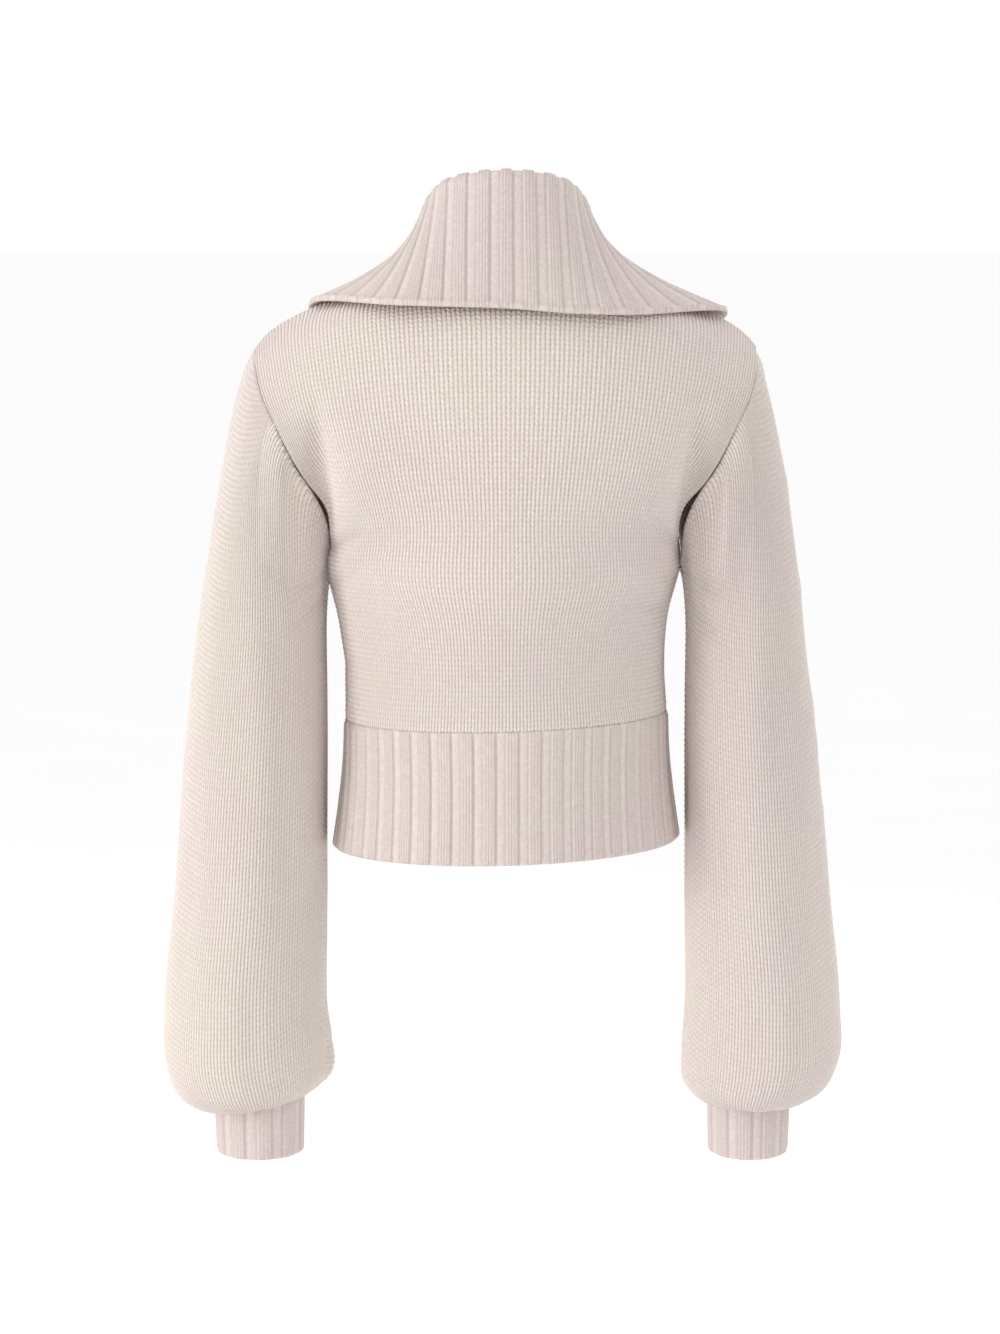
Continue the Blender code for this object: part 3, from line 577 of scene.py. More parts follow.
    def joined(self, outer: Lattice, inner: Lattice, shade: Array) -> Item:
        """Joins the two sides of the wall at its rims.

        Args:
            outer: The side with stitches.
            inner: The plain side.
            shade: The outer points' painted shade, from 0 on a crest to 1 in the deepest groove.

        Returns:
            The wall's object.
        """
        base = int(outer.used.sum())
        sides = (outer, inner)
        vertices = np.concatenate([side.points[side.used] for side in sides]) * MM
        ups = np.concatenate([side.up[side.used] for side in sides]) / self.knit.course
        across = np.concatenate([np.broadcast_to(side.places, side.up.shape)[side.used] for side in sides])
        # The plain inner side has an even painted shade.
        shades = np.concatenate([shade[outer.used], np.full(len(ups) - base, self.inner_shade)])
        groups = [(faces, np.append(outer.places, 1.0)[columns]) for faces, columns in outer.faces()]
        groups += [(faces[:, ::-1] + base, np.append(inner.places, 1.0)[columns[:, ::-1]])
                   for faces, columns in inner.faces()]
        for edge in ("low", "high") if self.closed else ("low", "high", "left", "right"):
            numbers, at = inner.line(edge)
            rim = zipped(*outer.line(edge), numbers + base, at)
            rim = rim[:, ::-1] if edge in ("low", "right") else rim
            groups.append((rim, across[rim]))
        groups = [(faces, at * self.repeats) for faces, at in groups]
        return woven_object(self.name, vertices, groups, ups, shades)


def linked(name: str, data: bpy.types.ID, place: Vec = (0.0, 0.0, 0.0)) -> Item:
    """A new object in the scene.

    Args:
        name: Its name.
        data: Its mesh, lamp or camera.
        place: Its place in metres.

    Returns:
        The object.
    """
    item = bpy.data.objects.new(name, data)
    item.location = place
    bpy.context.scene.collection.objects.link(item)
    return item


def woven_object(name: str, vertices: Array, groups: list[tuple[Array, Array]], ups: Array,
                 shades: Array) -> Item:
    """An object from groups of faces.

    Args:
        name: The piece's name.
        vertices: Points in metres.
        groups: Faces of as many corners each, with the repeat coordinate of every corner.
        ups: The course coordinate of each point.
        shades: The painted shade of each point.

    Returns:
        The linked object, shaded smooth, its faces outward.
    """
    volume = 0.0
    for faces, _ in groups:
        for k in range(2, faces.shape[1]):
            corners = vertices[faces[:, [0, k - 1, k]]]
            volume += (corners[:, 0] * np.cross(corners[:, 1], corners[:, 2])).sum()
    order = slice(None, None, -1 if volume < 0.0 else 1)
    loops = np.concatenate([faces[:, order].ravel() for faces, _ in groups])
    across = np.concatenate([at[:, order].ravel() for _, at in groups])
    sizes = np.concatenate([np.full(len(faces), faces.shape[1]) for faces, _ in groups])
    mesh = bpy.data.meshes.new(name)
    mesh.vertices.add(len(vertices))
    mesh.vertices.foreach_set("co", vertices.astype(np.float32).ravel())
    mesh.loops.add(len(loops))
    mesh.loops.foreach_set("vertex_index", loops.astype(np.int32))
    mesh.polygons.add(len(sizes))
    mesh.polygons.foreach_set("loop_start", (np.cumsum(sizes) - sizes).astype(np.int32))
    mesh.update(calc_edges=True)
    stitches = np.stack([across, ups[loops]], axis=-1).astype(np.float32)
    mesh.uv_layers.new(name="Stitches").uv.foreach_set("vector", stitches.ravel())
    # The painted shade is kept in a point attribute, by which the yarn's colour is darkened.
    mesh.attributes.new("shade", "FLOAT", "POINT").data.foreach_set("value", shades.astype(np.float32))
    mesh.shade_smooth()
    mesh.update()
    return linked(name, mesh)


def skinned(name: str, tubes: Sequence[Array]) -> bpy.types.Mesh:
    """A mesh of closed tubes.

    Args:
        name: The mesh's name.
        tubes: Each tube as rings of as many points, anticlockwise seen from its last ring.

    Returns:
        The mesh, its faces outward.
    """
    vertices = []
    faces = []
    for rings in tubes:
        number = len(vertices) + np.arange(rings.shape[0] * rings.shape[1]).reshape(rings.shape[:2])
        beside = np.roll(number, -1, axis=1)
        quads = np.stack([number[:-1], beside[:-1], beside[1:], number[1:]], axis=-1).reshape(-1, 4)
        faces += [*quads.tolist(), number[0][::-1].tolist(), number[-1].tolist()]
        vertices += rings.reshape(-1, 3).tolist()
    mesh = bpy.data.meshes.new(name)
    mesh.from_pydata(vertices, [], faces)
    return mesh


# ---- the garment's form


@dataclass(frozen=True)
class Section:
    """A line across a panel, from the centre to the armhole seam."""

    mid_y: float
    mid_z: float
    edge_x: float
    edge_y: float
    edge_z: float
    wrap: float
    crown_y: float = 0.0
    crown_z: float = 0.0

    def points(self, shares: Array, start_x: float = 0.0) -> Array:
        """Points from x = start_x (share 0) to the edge (share 1).

        Args:
            shares: Places along the section.
            start_x: Where the section starts.

        Returns:
            One point for each share.
        """
        wrap = math.radians(self.wrap)
        first = math.asin(start_x * math.sin(wrap) / self.edge_x) / wrap
        along = first + (1.0 - first) * shares
        weight = (np.cos(along * wrap) - math.cos(wrap)) / (1.0 - math.cos(wrap))
        bump = np.sin(math.pi * np.clip(along, 0.0, 1.0)) ** 2
        x = self.edge_x * np.sin(along * wrap) / math.sin(wrap)
        y = self.edge_y + (self.mid_y - self.edge_y) * weight + self.crown_y * bump
        z = self.edge_z + (self.mid_z - self.edge_z) * weight + self.crown_z * bump
        return np.stack([x, y, z], axis=-1)


@dataclass(frozen=True)
class Ring:
    """A level ring of the body. The seam angle is counted from the centre back."""

    z: float
    half_width: float
    back: float
    front: float
    seam: float

    def section(self, back: bool) -> Section:
        """The ring's back or front part.

        Args:
            back: Whether the back part is wanted.

        Returns:
            It as a section.
        """
        seam = math.radians(self.seam)
        middle, wrap = (self.back, self.seam) if back else (-self.front, 180.0 - self.seam)
        return Section(middle, self.z, self.half_width * math.sin(seam), self.back * math.cos(seam),
                       self.z, wrap)


@dataclass(frozen=True)
class BodyForm:
    """The three body panels' shape, as cut for a general figure."""

    hem_rings: tuple[Ring, ...] = (
        Ring(-418.0, 126.6, 99.0, 104.0, 70.0),
        Ring(-392.0, 122.6, 95.0, 99.5, 71.5),
        Ring(-356.0, 118.4, 90.0, 95.0, 74.0),
        Ring(-324.0, 117.0, 88.0, 93.0, 76.0),
    )
    body_rings: tuple[Ring, ...] = (
        Ring(-324.0, 117.0, 88.0, 93.0, 76.0),
        Ring(-290.0, 115.0, 91.5, 99.0, 75.0),
        Ring(-250.0, 117.5, 97.5, 109.5, 77.0),
        Ring(-216.0, 126.0, 103.0, 117.0, 82.0),
    )
    back_sections: tuple[Section, ...] = (
        Section(107.5, -176.0, 129.0, 48.0, -177.0, 75.0),
        Section(110.0, -136.0, 150.0, 71.0, -134.0, 66.0),
        Section(109.0, -98.0, 165.0, 66.0, -104.0, 62.0, 0.0, 4.0),
        Section(104.0, -63.0, 173.5, 51.0, -87.0, 60.0, -1.0, 8.0),
        Section(93.5, -33.0, 178.5, 29.0, -71.0, 60.0, -9.0, 12.0),
    )
    front_sections: tuple[Section, ...] = (
        Section(-120.5, -177.0, 128.0, -45.0, -178.0, 76.0, 0.0, 3.0),
        Section(-118.0, -146.0, 146.5, -70.0, -138.0, 66.0, 1.0, 10.0),
        Section(-110.0, -119.0, 162.5, -65.0, -106.0, 62.0, 6.0, 22.0),
        Section(-101.0, -102.0, 172.0, -49.0, -88.0, 60.0, 16.0, 35.0),
        Section(-92.5, -86.5, 177.5, -27.0, -72.0, 60.0, 33.0, 48.0),
    )
    neck_point: Vec = (75.0, 0.0, 0.0)
    back_neck: tuple[float, float] = (58.0, -6.0)
    front_neck: tuple[float, float] = (-82.0, -70.0)
    shoulder_bend: tuple[Vec, ...] = ((115.0, 0.0, -22.0), (168.0, 0.0, -33.0))
    shoulder_tip: Vec = (180.0, 0.0, -57.0)
    neck_share: float = 5.0 / 12.0
    band_half: float = 16.0
    armpit_x: float = 131.0
    armpit_width: float = 11.0
    armpit_depth: float = 13.0
    armpit_low: float = -216.0
    armpit_high: float = -92.0
    lean: float = 0.028
    lean_top: float = -222.0
    lean_full: float = -324.0
    steps: int = 20

    @property
    def underarm_row(self) -> int:
        """The dense row at which the armhole starts."""
        return self.steps * (len(self.body_rings) - 1)

    def leaned(self, points: Array) -> Array:
        """Points with the waist and hem hanging a little lower on the wearer's left."""
        drop = self.lean * smooth(self.lean_top, self.lean_full, points[..., 2]) * points[..., 0]
        return points - drop[..., None] * np.array(UP)

    def neckline(self, turns: Array, start_x: float, middle: tuple[float, float]) -> Array:
        """Quarter-oval points from start_x and the middle's Y and Z (turn 0) to the neck point (turn 1)."""
        x = start_x + (self.neck_point[0] - start_x) * np.sin(turns * math.pi / 2.0)
        return np.stack([x, *np.outer(middle, np.cos(turns * math.pi / 2.0))], axis=-1)

    def shoulder(self, turns: Array) -> Array:
        """Shoulder line points, from the neck point (turn 0) to the tip (turn 1)."""
        shares = [math.comb(3, k) * (1.0 - turns) ** (3 - k) * turns**k for k in range(4)]
        return np.stack(shares, axis=-1) @ np.array([self.neck_point, *self.shoulder_bend, self.shoulder_tip])

    def top(self, shares: Array, start_x: float, middle: tuple[float, float]) -> Array:
        """A panel's top edge: its neckline, then the shoulder line.

        Args:
            shares: Places along it.
            start_x: Where the neckline starts.
            middle: Its Y and Z there.

        Returns:
            One point for each share.
        """
        neck = self.neckline(np.clip(shares / self.neck_share, 0.0, 1.0), start_x, middle)
        line = self.shoulder(np.clip((shares - self.neck_share) / (1.0 - self.neck_share), 0.0, 1.0))
        return np.where((shares < self.neck_share)[:, None], neck, line)

    def pressed(self, grid: Array, inward: float) -> Array:
        """The fold that the arm presses in beside the armhole.

        Args:
            grid: A panel's points.
            inward: The sign of the inward Y.

        Returns:
            The moved points.
        """
        rise = np.clip((grid[..., 2] - self.armpit_low) / (self.armpit_high - self.armpit_low), 0.0, 1.0)
        across = (np.abs(grid[..., 0]) - self.armpit_x) / self.armpit_width
        moved = grid.copy()
        moved[..., 1] += inward * self.armpit_depth * np.sin(math.pi * rise) * np.exp(-0.5 * across**2)
        return moved

    def half_back(self, shares: Array) -> Array:
        """The left half of the back.

        Args:
            shares: Places from the centre line to the side.

        Returns:
            Dense points, lowest row first.
        """
        sections = [ring.section(back=True) for ring in self.body_rings] + list(self.back_sections)
        rows = [section.points(shares) for section in sections]
        rows.append(self.top(shares, 0.0, self.back_neck))
        return self.pressed(loft(rows, self.steps), -1.0)

    def back(self, places: Array) -> Array:
        """The back.

        Args:
            places: Places from the right side to the left.

        Returns:
            Dense points, lowest row first.
        """
        found = self.half_back(np.abs(2.0 * places - 1.0))
        found[:, places < 0.5] = mirrored(found[:, places < 0.5])
        return found

    def left_front(self, shares: Array) -> Array:
        """The left front, whose side meets the back's below the armhole.

        Args:
            shares: Places from the band to the side.

        Returns:
            Dense points, lowest row first.
        """
        sections = [ring.section(back=False) for ring in self.body_rings] + list(self.front_sections)
        everywhere = np.append(shares, 1.0)
        rows = [section.points(everywhere, self.band_half) for section in sections]
        rows.append(self.top(everywhere, self.band_half, self.front_neck))
        found = self.pressed(loft(rows, self.steps), 1.0)
        side = slice(0, self.underarm_row + 1)
        miss = self.half_back(np.array([1.0]))[side] - found[side, -1:]
        found[side] += miss * (everywhere**6)[None, :, None]
        return found[:, :-1]

    def front_line(self) -> Array:
        """The dense centre front line.

        Returns:
            Its points, from the hem to the neck.
        """
        sections = [ring.section(back=False) for ring in self.hem_rings[:-1] + self.body_rings]
        rows = [section.points(np.zeros(1)) for section in (*sections, *self.front_sections)]
        rows.append(np.array([[0.0, self.front_neck[0] - 1.0, self.front_neck[1]]]))
        return loft(rows, self.steps)[:, 0]

    def neck_round(self, places: Array) -> Array:
        """The neckline.

        Args:
            places: Places from the right front end round the back to the left one.

        Returns:
            One point for each place.
        """
        turn = np.abs(2.0 * places - 1.0)
        back = self.neckline(np.clip(2.0 * turn, 0.0, 1.0), 0.0, self.back_neck)
        front = self.neckline(np.clip(2.0 - 2.0 * turn, 0.0, 1.0), self.band_half, self.front_neck)
        found = np.where((turn < 0.5)[:, None], back, front)
        return np.where((places < 0.5)[:, None], mirrored(found), found)


@dataclass(frozen=True)
class SleeveRing:
    """A level ring of a sleeve or cuff. Inner and outer are distances from the centre plane."""

    z: float
    inner: float
    outer: float
    centre_y: float
    half_depth: float


@dataclass(frozen=True)
class SleeveForm:
    """A balloon sleeve's shape on the left side.

    Leaves are directions in which it leaves the armhole, each after its share of the way from the
    underarm to the shoulder tip.
    """

    body: BodyForm
    tilt: float
    spread: float
    rings: tuple[SleeveRing, ...] = (
        SleeveRing(-270.0, 131.5, 221.5, -2.0, 62.0),
        SleeveRing(-360.0, 131.0, 231.6, -5.0, 67.0),
        SleeveRing(-450.0, 131.8, 239.3, -8.0, 72.0),
        SleeveRing(-542.0, 133.5, 248.5, -12.0, 76.0),
        SleeveRing(-586.0, 131.5, 248.0, -14.0, 75.0),
        SleeveRing(-603.0, 132.5, 240.5, -15.0, 69.0),
        SleeveRing(-613.0, 140.5, 228.0, -16.0, 56.0),
        SleeveRing(-616.0, 147.0, 218.5, -17.0, 41.0),
        SleeveRing(-607.5, 151.6, 212.4, -18.0, 31.0),
    )
    leaves: tuple[tuple[float, float, float, float], ...] = (
        (0.00, 0.50, 0.00, -0.85),
        (0.17, 0.45, 0.55, -0.70),
        (0.33, 0.80, 0.25, -0.55),
        (0.50, 0.78, 0.02, -0.62),
        (1.00, 0.72, 0.00, -0.69),
    )
    leave_share: float = 0.38
    arrive_share: float = 0.80
    tilt_top: float = -542.0
    tilt_reach: float = 50.0
    spread_top: float = -120.0
    spread_full: float = -420.0
    steps: int = 16
    even_steps: int = 720

    def armhole(self, turns: Array) -> Array:
        """The armhole loop.

        Args:
            turns: Places from the underarm up the back, over the shoulder tip and down the front.

        Returns:
            One point for each place.
        """
        up = self.body.half_back(np.array([1.0]))[self.body.underarm_row:, 0]
        down = self.body.left_front(np.array([1.0]))[self.body.underarm_row:, 0]
        rise = (len(up) - 1) * (1.0 - np.abs(2.0 * turns - 1.0))
        return np.where((turns < 0.5)[:, None], along_rows(up, rise), along_rows(down, rise))

    def leaving(self, turns: Array) -> Array:
        """Directions in which the sleeve leaves the armhole.

        Args:
            turns: Places round the armhole.

        Returns:
            One unit direction for each place.
        """
        share = 1.0 - np.abs(2.0 * turns - 1.0)
        known = np.array(self.leaves)
        found = np.stack([np.interp(share, known[:, 0], known[:, k]) for k in (1, 2, 3)], axis=-1)
        found[turns > 0.5, 1] *= -1.0
        return unit(found)

    def ring_points(self, ring: SleeveRing, turns: Array) -> Array:
        """A level oval, tilted where the balloon is.

        Args:
            ring: Its sizes.
            turns: Places from its inner side round by the back.

        Returns:
            One point for each place.
        """
        angle = 2.0 * math.pi * turns
        outer = ring.outer + self.spread * float(smooth(self.spread_top, self.spread_full, ring.z))
        centre = (ring.inner + outer) / 2.0
        x = centre - (outer - ring.inner) / 2.0 * np.cos(angle)
        y = ring.centre_y + ring.half_depth * np.sin(angle)
        drop = self.tilt * float(smooth(self.tilt_top, self.rings[-1].z, ring.z))
        return np.stack([x, y, ring.z - drop * (x - centre) / self.tilt_reach], axis=-1)

    def evened(self, places: Array) -> Array:
        """Turns at which equal places lie at equal distances round the sleeve.

        Args:
            places: Places from 0 to 1.

        Returns:
            One turn for each place.
        """
        turns = np.linspace(0.0, 1.0, self.even_steps + 1)
        length = travelled(self.ring_points(self.rings[2], turns))
        return np.interp(places, length / length[-1], turns)

    def surface(self, places: Array) -> Array:
        """The sleeve.

        Args:
            places: Places from its inner side round by the back.

        Returns:
            Dense points, the row at the cuff's seam first.
        """
        turns = self.evened(places)
        loop = self.armhole(turns)
        body = loft([self.ring_points(ring, turns) for ring in self.rings], self.steps)
        reach = np.linalg.norm(body[0] - loop, axis=-1, keepdims=True)
        leave = self.leaving(turns) * reach * self.leave_share
        arrive = unit(body[self.steps // 2] - body[0]) * reach * self.arrive_share
        cap_steps = 3 * self.steps
        t = np.arange(cap_steps)[:, None, None] / cap_steps
        return np.concatenate([hermite(t, loop, body[0], leave, arrive), body])[::-1]


@dataclass(frozen=True)
class CollarSection:
    """A line up the collar: the axis of its fold, the bend of its fall and its edge.

    Swing is how much further the edge reaches on the wearer's right.
    """

    share: float
    fold: Vec
    bend: Vec
    edge: Vec
    swing: Vec = (0.0, 0.0, 0.0)


@dataclass(frozen=True)
class CollarForm:
    """The folded collar's shape, from the centre back (share 0) to the front end (share 1)."""

    body: BodyForm
    sections: tuple[CollarSection, ...] = (
        CollarSection(0.00, (0.0, 64.0, 64.0), (0.0, 80.0, 24.0), (0.0, 100.2, -24.0)),
        CollarSection(0.14, (38.0, 51.5, 58.0), (44.0, 70.0, 20.0), (46.0, 97.0, -22.5), (3.0, 0.0, -5.0)),
        CollarSection(0.24, (49.5, 29.0, 47.5), (65.0, 54.0, 13.5), (80.0, 87.5, -21.5), (6.0, -1.0, -7.0)),
        CollarSection(0.44, (55.0, -10.0, 24.0), (75.0, 4.0, 3.5), (138.0, 12.0, -22.5), (19.0, -3.0, -6.5)),
        CollarSection(0.62, (52.5, -41.0, 0.0), (75.0, -40.0, -14.0), (140.0, -52.0, -42.5),
                      (9.0, 0.0, -4.0)),
        CollarSection(0.82, (41.0, -71.5, -27.0), (71.0, -83.0, -36.0), (112.0, -98.0, -84.0)),
        CollarSection(1.00, (23.0, -92.0, -48.0), (48.0, -116.0, -58.0), (72.0, -122.0, -120.0)),
    )
    fold_radius: float = 6.0
    stand_steps: int = 24
    fold_steps: int = 14
    fall_steps: int = 40
    wall: float = 2.6
    seam_gap: float = 0.5
    seam_rise: float = 0.45
    look_aside: float = 1e-3

    def curve(self, name: str, places: Array) -> Array:
        """The fold, bend or edge.

        Args:
            name: Which of them.
            places: Places from the right front end to the left one.

        Returns:
            One point for each place.
        """
        shares = np.array([section.share for section in self.sections])
        left = np.array([getattr(section, name) for section in self.sections])
        right = left[:0:-1]
        if name == "edge":
            right = right + np.array([section.swing for section in self.sections[:0:-1]])
        keys = np.concatenate([-shares[:0:-1], shares])
        return spline(keys, np.concatenate([mirrored(right), left]), 2.0 * places - 1.0)

    def surface(self, places: Array) -> Array:
        """The side that shows, from the neck seam over the fold to the edge.

        Args:
            places: Places from the right front end to the left one.

        Returns:
            Dense points, the row at the neck first.
        """
        fold, bend, edge = (self.curve(name, places) for name in ("fold", "bend", "edge"))
        length = travelled(fold)
        before, after = (self.curve("fold", np.clip(places + aside, 0.0, 1.0))
                         for aside in (-self.look_aside, self.look_aside))
        run = unit(after - before)
        outward = unit(np.cross(np.array(UP), run))
        upward = unit(np.cross(run, outward))
        stand_top = fold - self.fold_radius * outward
        fall_top = fold + self.fold_radius * outward
        neck = self.body.neck_round(length / length[-1])
        inside = neck - self.wall * unit(outward + self.seam_rise * upward)
        base = inside + self.seam_gap * unit(stand_top - inside)
        rows = [base + (stand_top - base) * k / self.stand_steps for k in range(self.stand_steps + 1)]
        for k in range(1, self.fold_steps + 1):
            angle = math.pi * k / self.fold_steps
            rows.append(fold - self.fold_radius * (math.cos(angle) * outward - math.sin(angle) * upward))
        for k in range(1, self.fall_steps + 1):
            t = k / self.fall_steps
            rows.append((1 - t) ** 2 * fall_top + 2 * t * (1 - t) * bend + t * t * edge)
        return np.array(rows)


# ---- finishes


class Desk:
    """Lays out a material's nodes."""

    def __init__(self, name: str) -> None:
        """Starts a material with a Principled shader.

        Args:
            name: The material's name.
        """
        self.material = bpy.data.materials.new(name)
        self.material.use_nodes = True
        self.nodes = self.material.node_tree.nodes
        self.shader = self.nodes["Principled BSDF"]

    def feed(self, socket: Socket, value: object) -> None:
        """Links a socket, or sets its number or colour.

        Args:
            socket: The socket.
            value: Another socket, a number or a colour.
        """
        if isinstance(value, Socket):
            self.material.node_tree.links.new(value, socket)
        else:
            socket.default_value = value

    def node(self, kind: str, inputs: dict[int | str, object], **settings: object) -> bpy.types.Node:
        """A new node.

        Args:
            kind: Its type.
            inputs: What its inputs are fed with, by number or name.
            settings: Its other settings.

        Returns:
            The node.
        """
        node = self.nodes.new(kind)
        for name, value in settings.items():
            setattr(node, name, value)
        for key, value in inputs.items():
            self.feed(node.inputs[key], value)
        return node

    def calc(self, operation: str, *values: object) -> Socket:
        """A Math node's result."""
        return self.node("ShaderNodeMath", dict(enumerate(values)), operation=operation).outputs[0]

    def mix(self, share: object, first: object, second: object) -> Socket:
        """A colour between two colours."""
        return self.node("ShaderNodeMix", {0: share, 6: first, 7: second}, data_type="RGBA").outputs[2]

    def spread(self, value: object, low: float, high: float, to_low: float = 0.0,
               to_high: float = 1.0) -> Socket:
        """A value moved from one range to another, with soft ends."""
        inputs = dict(enumerate((value, low, high, to_low, to_high)))
        return self.node("ShaderNodeMapRange", inputs, interpolation_type="SMOOTHSTEP").outputs[0]

    def noise(self, scale: float, detail: float) -> Socket:
        """A Noise texture's value at places in the object's own space, in metres."""
        place = self.nodes.new("ShaderNodeTexCoord").outputs["Object"]
        return self.node("ShaderNodeTexNoise", {"Vector": place, "Scale": scale, "Detail": detail}).outputs[0]

    def stitches(self) -> tuple[Socket, Socket]:
        """The repeat and course coordinates."""
        places = self.node("ShaderNodeUVMap", {}, uv_map="Stitches").outputs[0]
        return tuple(self.node("ShaderNodeSeparateXYZ", {0: places}).outputs[:2])

    def shade(self) -> Socket:
        """The shade held in the mesh, from 0 on a crest to 1 in the deepest groove."""
        # This shade is painted shade, which darkens the yarn's colour in the grooves.
        return self.node("ShaderNodeAttribute", {}, attribute_name="shade").outputs["Fac"]

    def bump(self, height: object, distance: float, strength: float = 1.0) -> Socket:
        """A bumped normal from a height."""
        inputs = {"Height": height, "Distance": distance, "Strength": strength}
        return self.node("ShaderNodeBump", inputs).outputs[0]

    def finished(self, inputs: dict[str, object]) -> bpy.types.Material:
        """The material, with the shader's inputs fed by name.

        Args:
            inputs: What each input is fed with.

        Returns:
            The material.
        """
        for name, value in inputs.items():
            self.feed(self.shader.inputs[name], value)
        return self.material


@dataclass(frozen=True)
class YarnFinish:
    """Soft cream wool. Rib tells whether the repeat is the wide rib, whose wales fill group."""

    name: str
    rib: bool
    cream: Colour = (0.795, 0.708, 0.644, 1.0)
    pink: Colour = (0.790, 0.681, 0.662, 1.0)
    pale: Colour = (0.880, 0.830, 0.780, 1.0)
    # The groove colour is painted shade: grooves and the holes between legs are darkened towards it.
    groove: Colour = (0.420, 0.320, 0.265, 1.0)
    sheen: Colour = (1.0, 0.96, 0.94, 1.0)
    slant: float = 0.36
    bump_depth: float = 0.0010
    leg_bump: float = 0.72
    # How strongly painted shade darkens the holes between legs, and the mesh's grooves.
    hole_shade_weight: float = 0.62
    groove_shade_weight: float = 0.30
    beads: float = 0.50
    group: float = 0.265
    group_end: float = 0.305
    # The greatest share of painted shade in the colour.
    darkest: float = 0.9

    def legs(self, desk: Desk, across: Socket, course: Socket) -> tuple[Socket, Socket]:
        """The two legs of a stitch.

        Args:
            desk: The material's desk.
            across: The place across a wale, from 0 to 1.
            course: The course coordinate.

        Returns:
            Their height and the painted shade of the holes between them, each from 0 to 1.
        """
        calc = desk.calc
        signed = calc("MULTIPLY_ADD", calc("ABSOLUTE", calc("SUBTRACT", across, 0.5)), 4.0, -1.0)
        leg = calc("SUBTRACT", 1.0, calc("POWER", calc("ABSOLUTE", signed), 2.2))
        phase = calc("FRACT", calc("SUBTRACT", course, calc("MULTIPLY", signed, self.slant)))
        swing = calc("ABSOLUTE", calc("MULTIPLY_ADD", phase, 2.0, -1.0))
        bulge = calc("SUBTRACT", 1.0, calc("POWER", swing, 3.0))
        holes = []
        for side, start in ((-1.0, 0.25), (1.0, 0.75)):
            line = desk.spread(calc("MULTIPLY", signed, side), 0.30, 1.0)
            away = calc("ABSOLUTE", calc("SUBTRACT", phase, start))
            holes.append(calc("MULTIPLY", line, desk.spread(away, 0.05, 0.30, 1.0, 0.42)))
        height = calc("MULTIPLY", leg, calc("MULTIPLY_ADD", bulge, 0.62, 0.38))
        return height, calc("MAXIMUM", *holes)

    def stitches(self, desk: Desk) -> tuple[Socket, Socket]:
        """The fine height and the painted shade of the holes between the stitches' legs, which the mesh holds
        in rough.

        Args:
            desk: The material's desk.

        Returns:
            The height and the painted shade, each from 0 to 1.
        """
        calc = desk.calc
        across, course = desk.stitches()
        if not self.rib:
            return self.legs(desk, calc("FRACT", across), course)
        place = calc("SUBTRACT", calc("FRACT", calc("ADD", across, 0.5)), 0.5)
        height, hole_shade = self.legs(desk, calc("FRACT", calc("DIVIDE", place, self.group)), course)
        wave = calc("MULTIPLY", calc("SINE", calc("MULTIPLY", place, 48.0)), 0.22)
        turn = calc("MULTIPLY", calc("ADD", course, wave), 2.0 * math.pi)
        purl = calc("MULTIPLY_ADD", calc("SINE", turn), 0.16, 0.50)
        outside = desk.spread(calc("ABSOLUTE", place), self.group, self.group_end)
        inside = calc("SUBTRACT", 1.0, outside)
        height = calc("ADD", calc("MULTIPLY", height, inside), calc("MULTIPLY", purl, outside))
        return height, calc("MULTIPLY", hole_shade, inside)

    def material(self) -> bpy.types.Material:
        """Makes the material.

        Returns:
            The finished material.
        """
        desk = Desk(self.name)
        calc = desk.calc
        height, hole_shade = self.stitches(desk)
        fibres = desk.noise(2600.0, 2.0)
        plies = desk.noise(900.0, 2.0)
        beads = desk.noise(330.0, 1.0)
        tint = desk.mix(desk.spread(desk.noise(9.0, 2.0), 0.38, 0.62), self.cream, self.pink)
        mottled = desk.mix(desk.spread(beads, 0.40, 0.66, 0.0, self.beads), tint, self.pale)
        uneven = desk.spread(calc("ADD", beads, calc("MULTIPLY", plies, 0.5)), 0.55, 0.95, 0.55, 1.25)
        # Painted shade: the mesh's groove shade and the unevenly dark holes between legs darken the yarn
        # towards the groove colour.
        depth = calc("ADD", calc("MULTIPLY", desk.shade(), self.groove_shade_weight),
                     calc("MULTIPLY", calc("MULTIPLY", hole_shade, uneven), self.hole_shade_weight))
        fine = calc("MULTIPLY_ADD", fibres, 0.16, calc("MULTIPLY", plies, 0.12))
        return desk.finished({
            "Base Color": desk.mix(calc("MINIMUM", depth, self.darkest), mottled, self.groove),
            "Roughness": desk.spread(fibres, 0.2, 0.8, 0.78, 0.95),
            "Sheen Weight": 0.20,
            "Sheen Roughness": 0.45,
            "Sheen Tint": self.sheen,
            "Specular IOR Level": 0.25,
            "Normal": desk.bump(calc("MULTIPLY_ADD", height, self.leg_bump, fine), self.bump_depth),
        })


@dataclass(frozen=True)
class ShellFinish:
    """Satin cream shell of the buttons, with soft drifting veins."""

    name: str = "button_shell"
    pale: Colour = (0.80, 0.72, 0.63, 1.0)
    deep: Colour = (0.62, 0.51, 0.42, 1.0)
    vein: Colour = (0.88, 0.82, 0.75, 1.0)

    def material(self) -> bpy.types.Material:
        """Makes the material.

        Returns:
            The finished material.
        """
        desk = Desk(self.name)
        drift = desk.noise(70.0, 5.0)
        veins = desk.spread(desk.noise(260.0, 6.0), 0.45, 0.62)
        colour = desk.mix(desk.calc("MULTIPLY", desk.spread(drift, 0.35, 0.7), 0.6), self.pale, self.deep)
        return desk.finished({
            "Base Color": desk.mix(desk.calc("MULTIPLY", veins, 0.25), colour, self.vein),
            "Roughness": desk.spread(drift, 0.2, 0.8, 0.26, 0.42),
            "Coat Weight": 0.25,
            "Coat Roughness": 0.2,
            "Normal": desk.bump(drift, 0.0002, 0.5),
        })


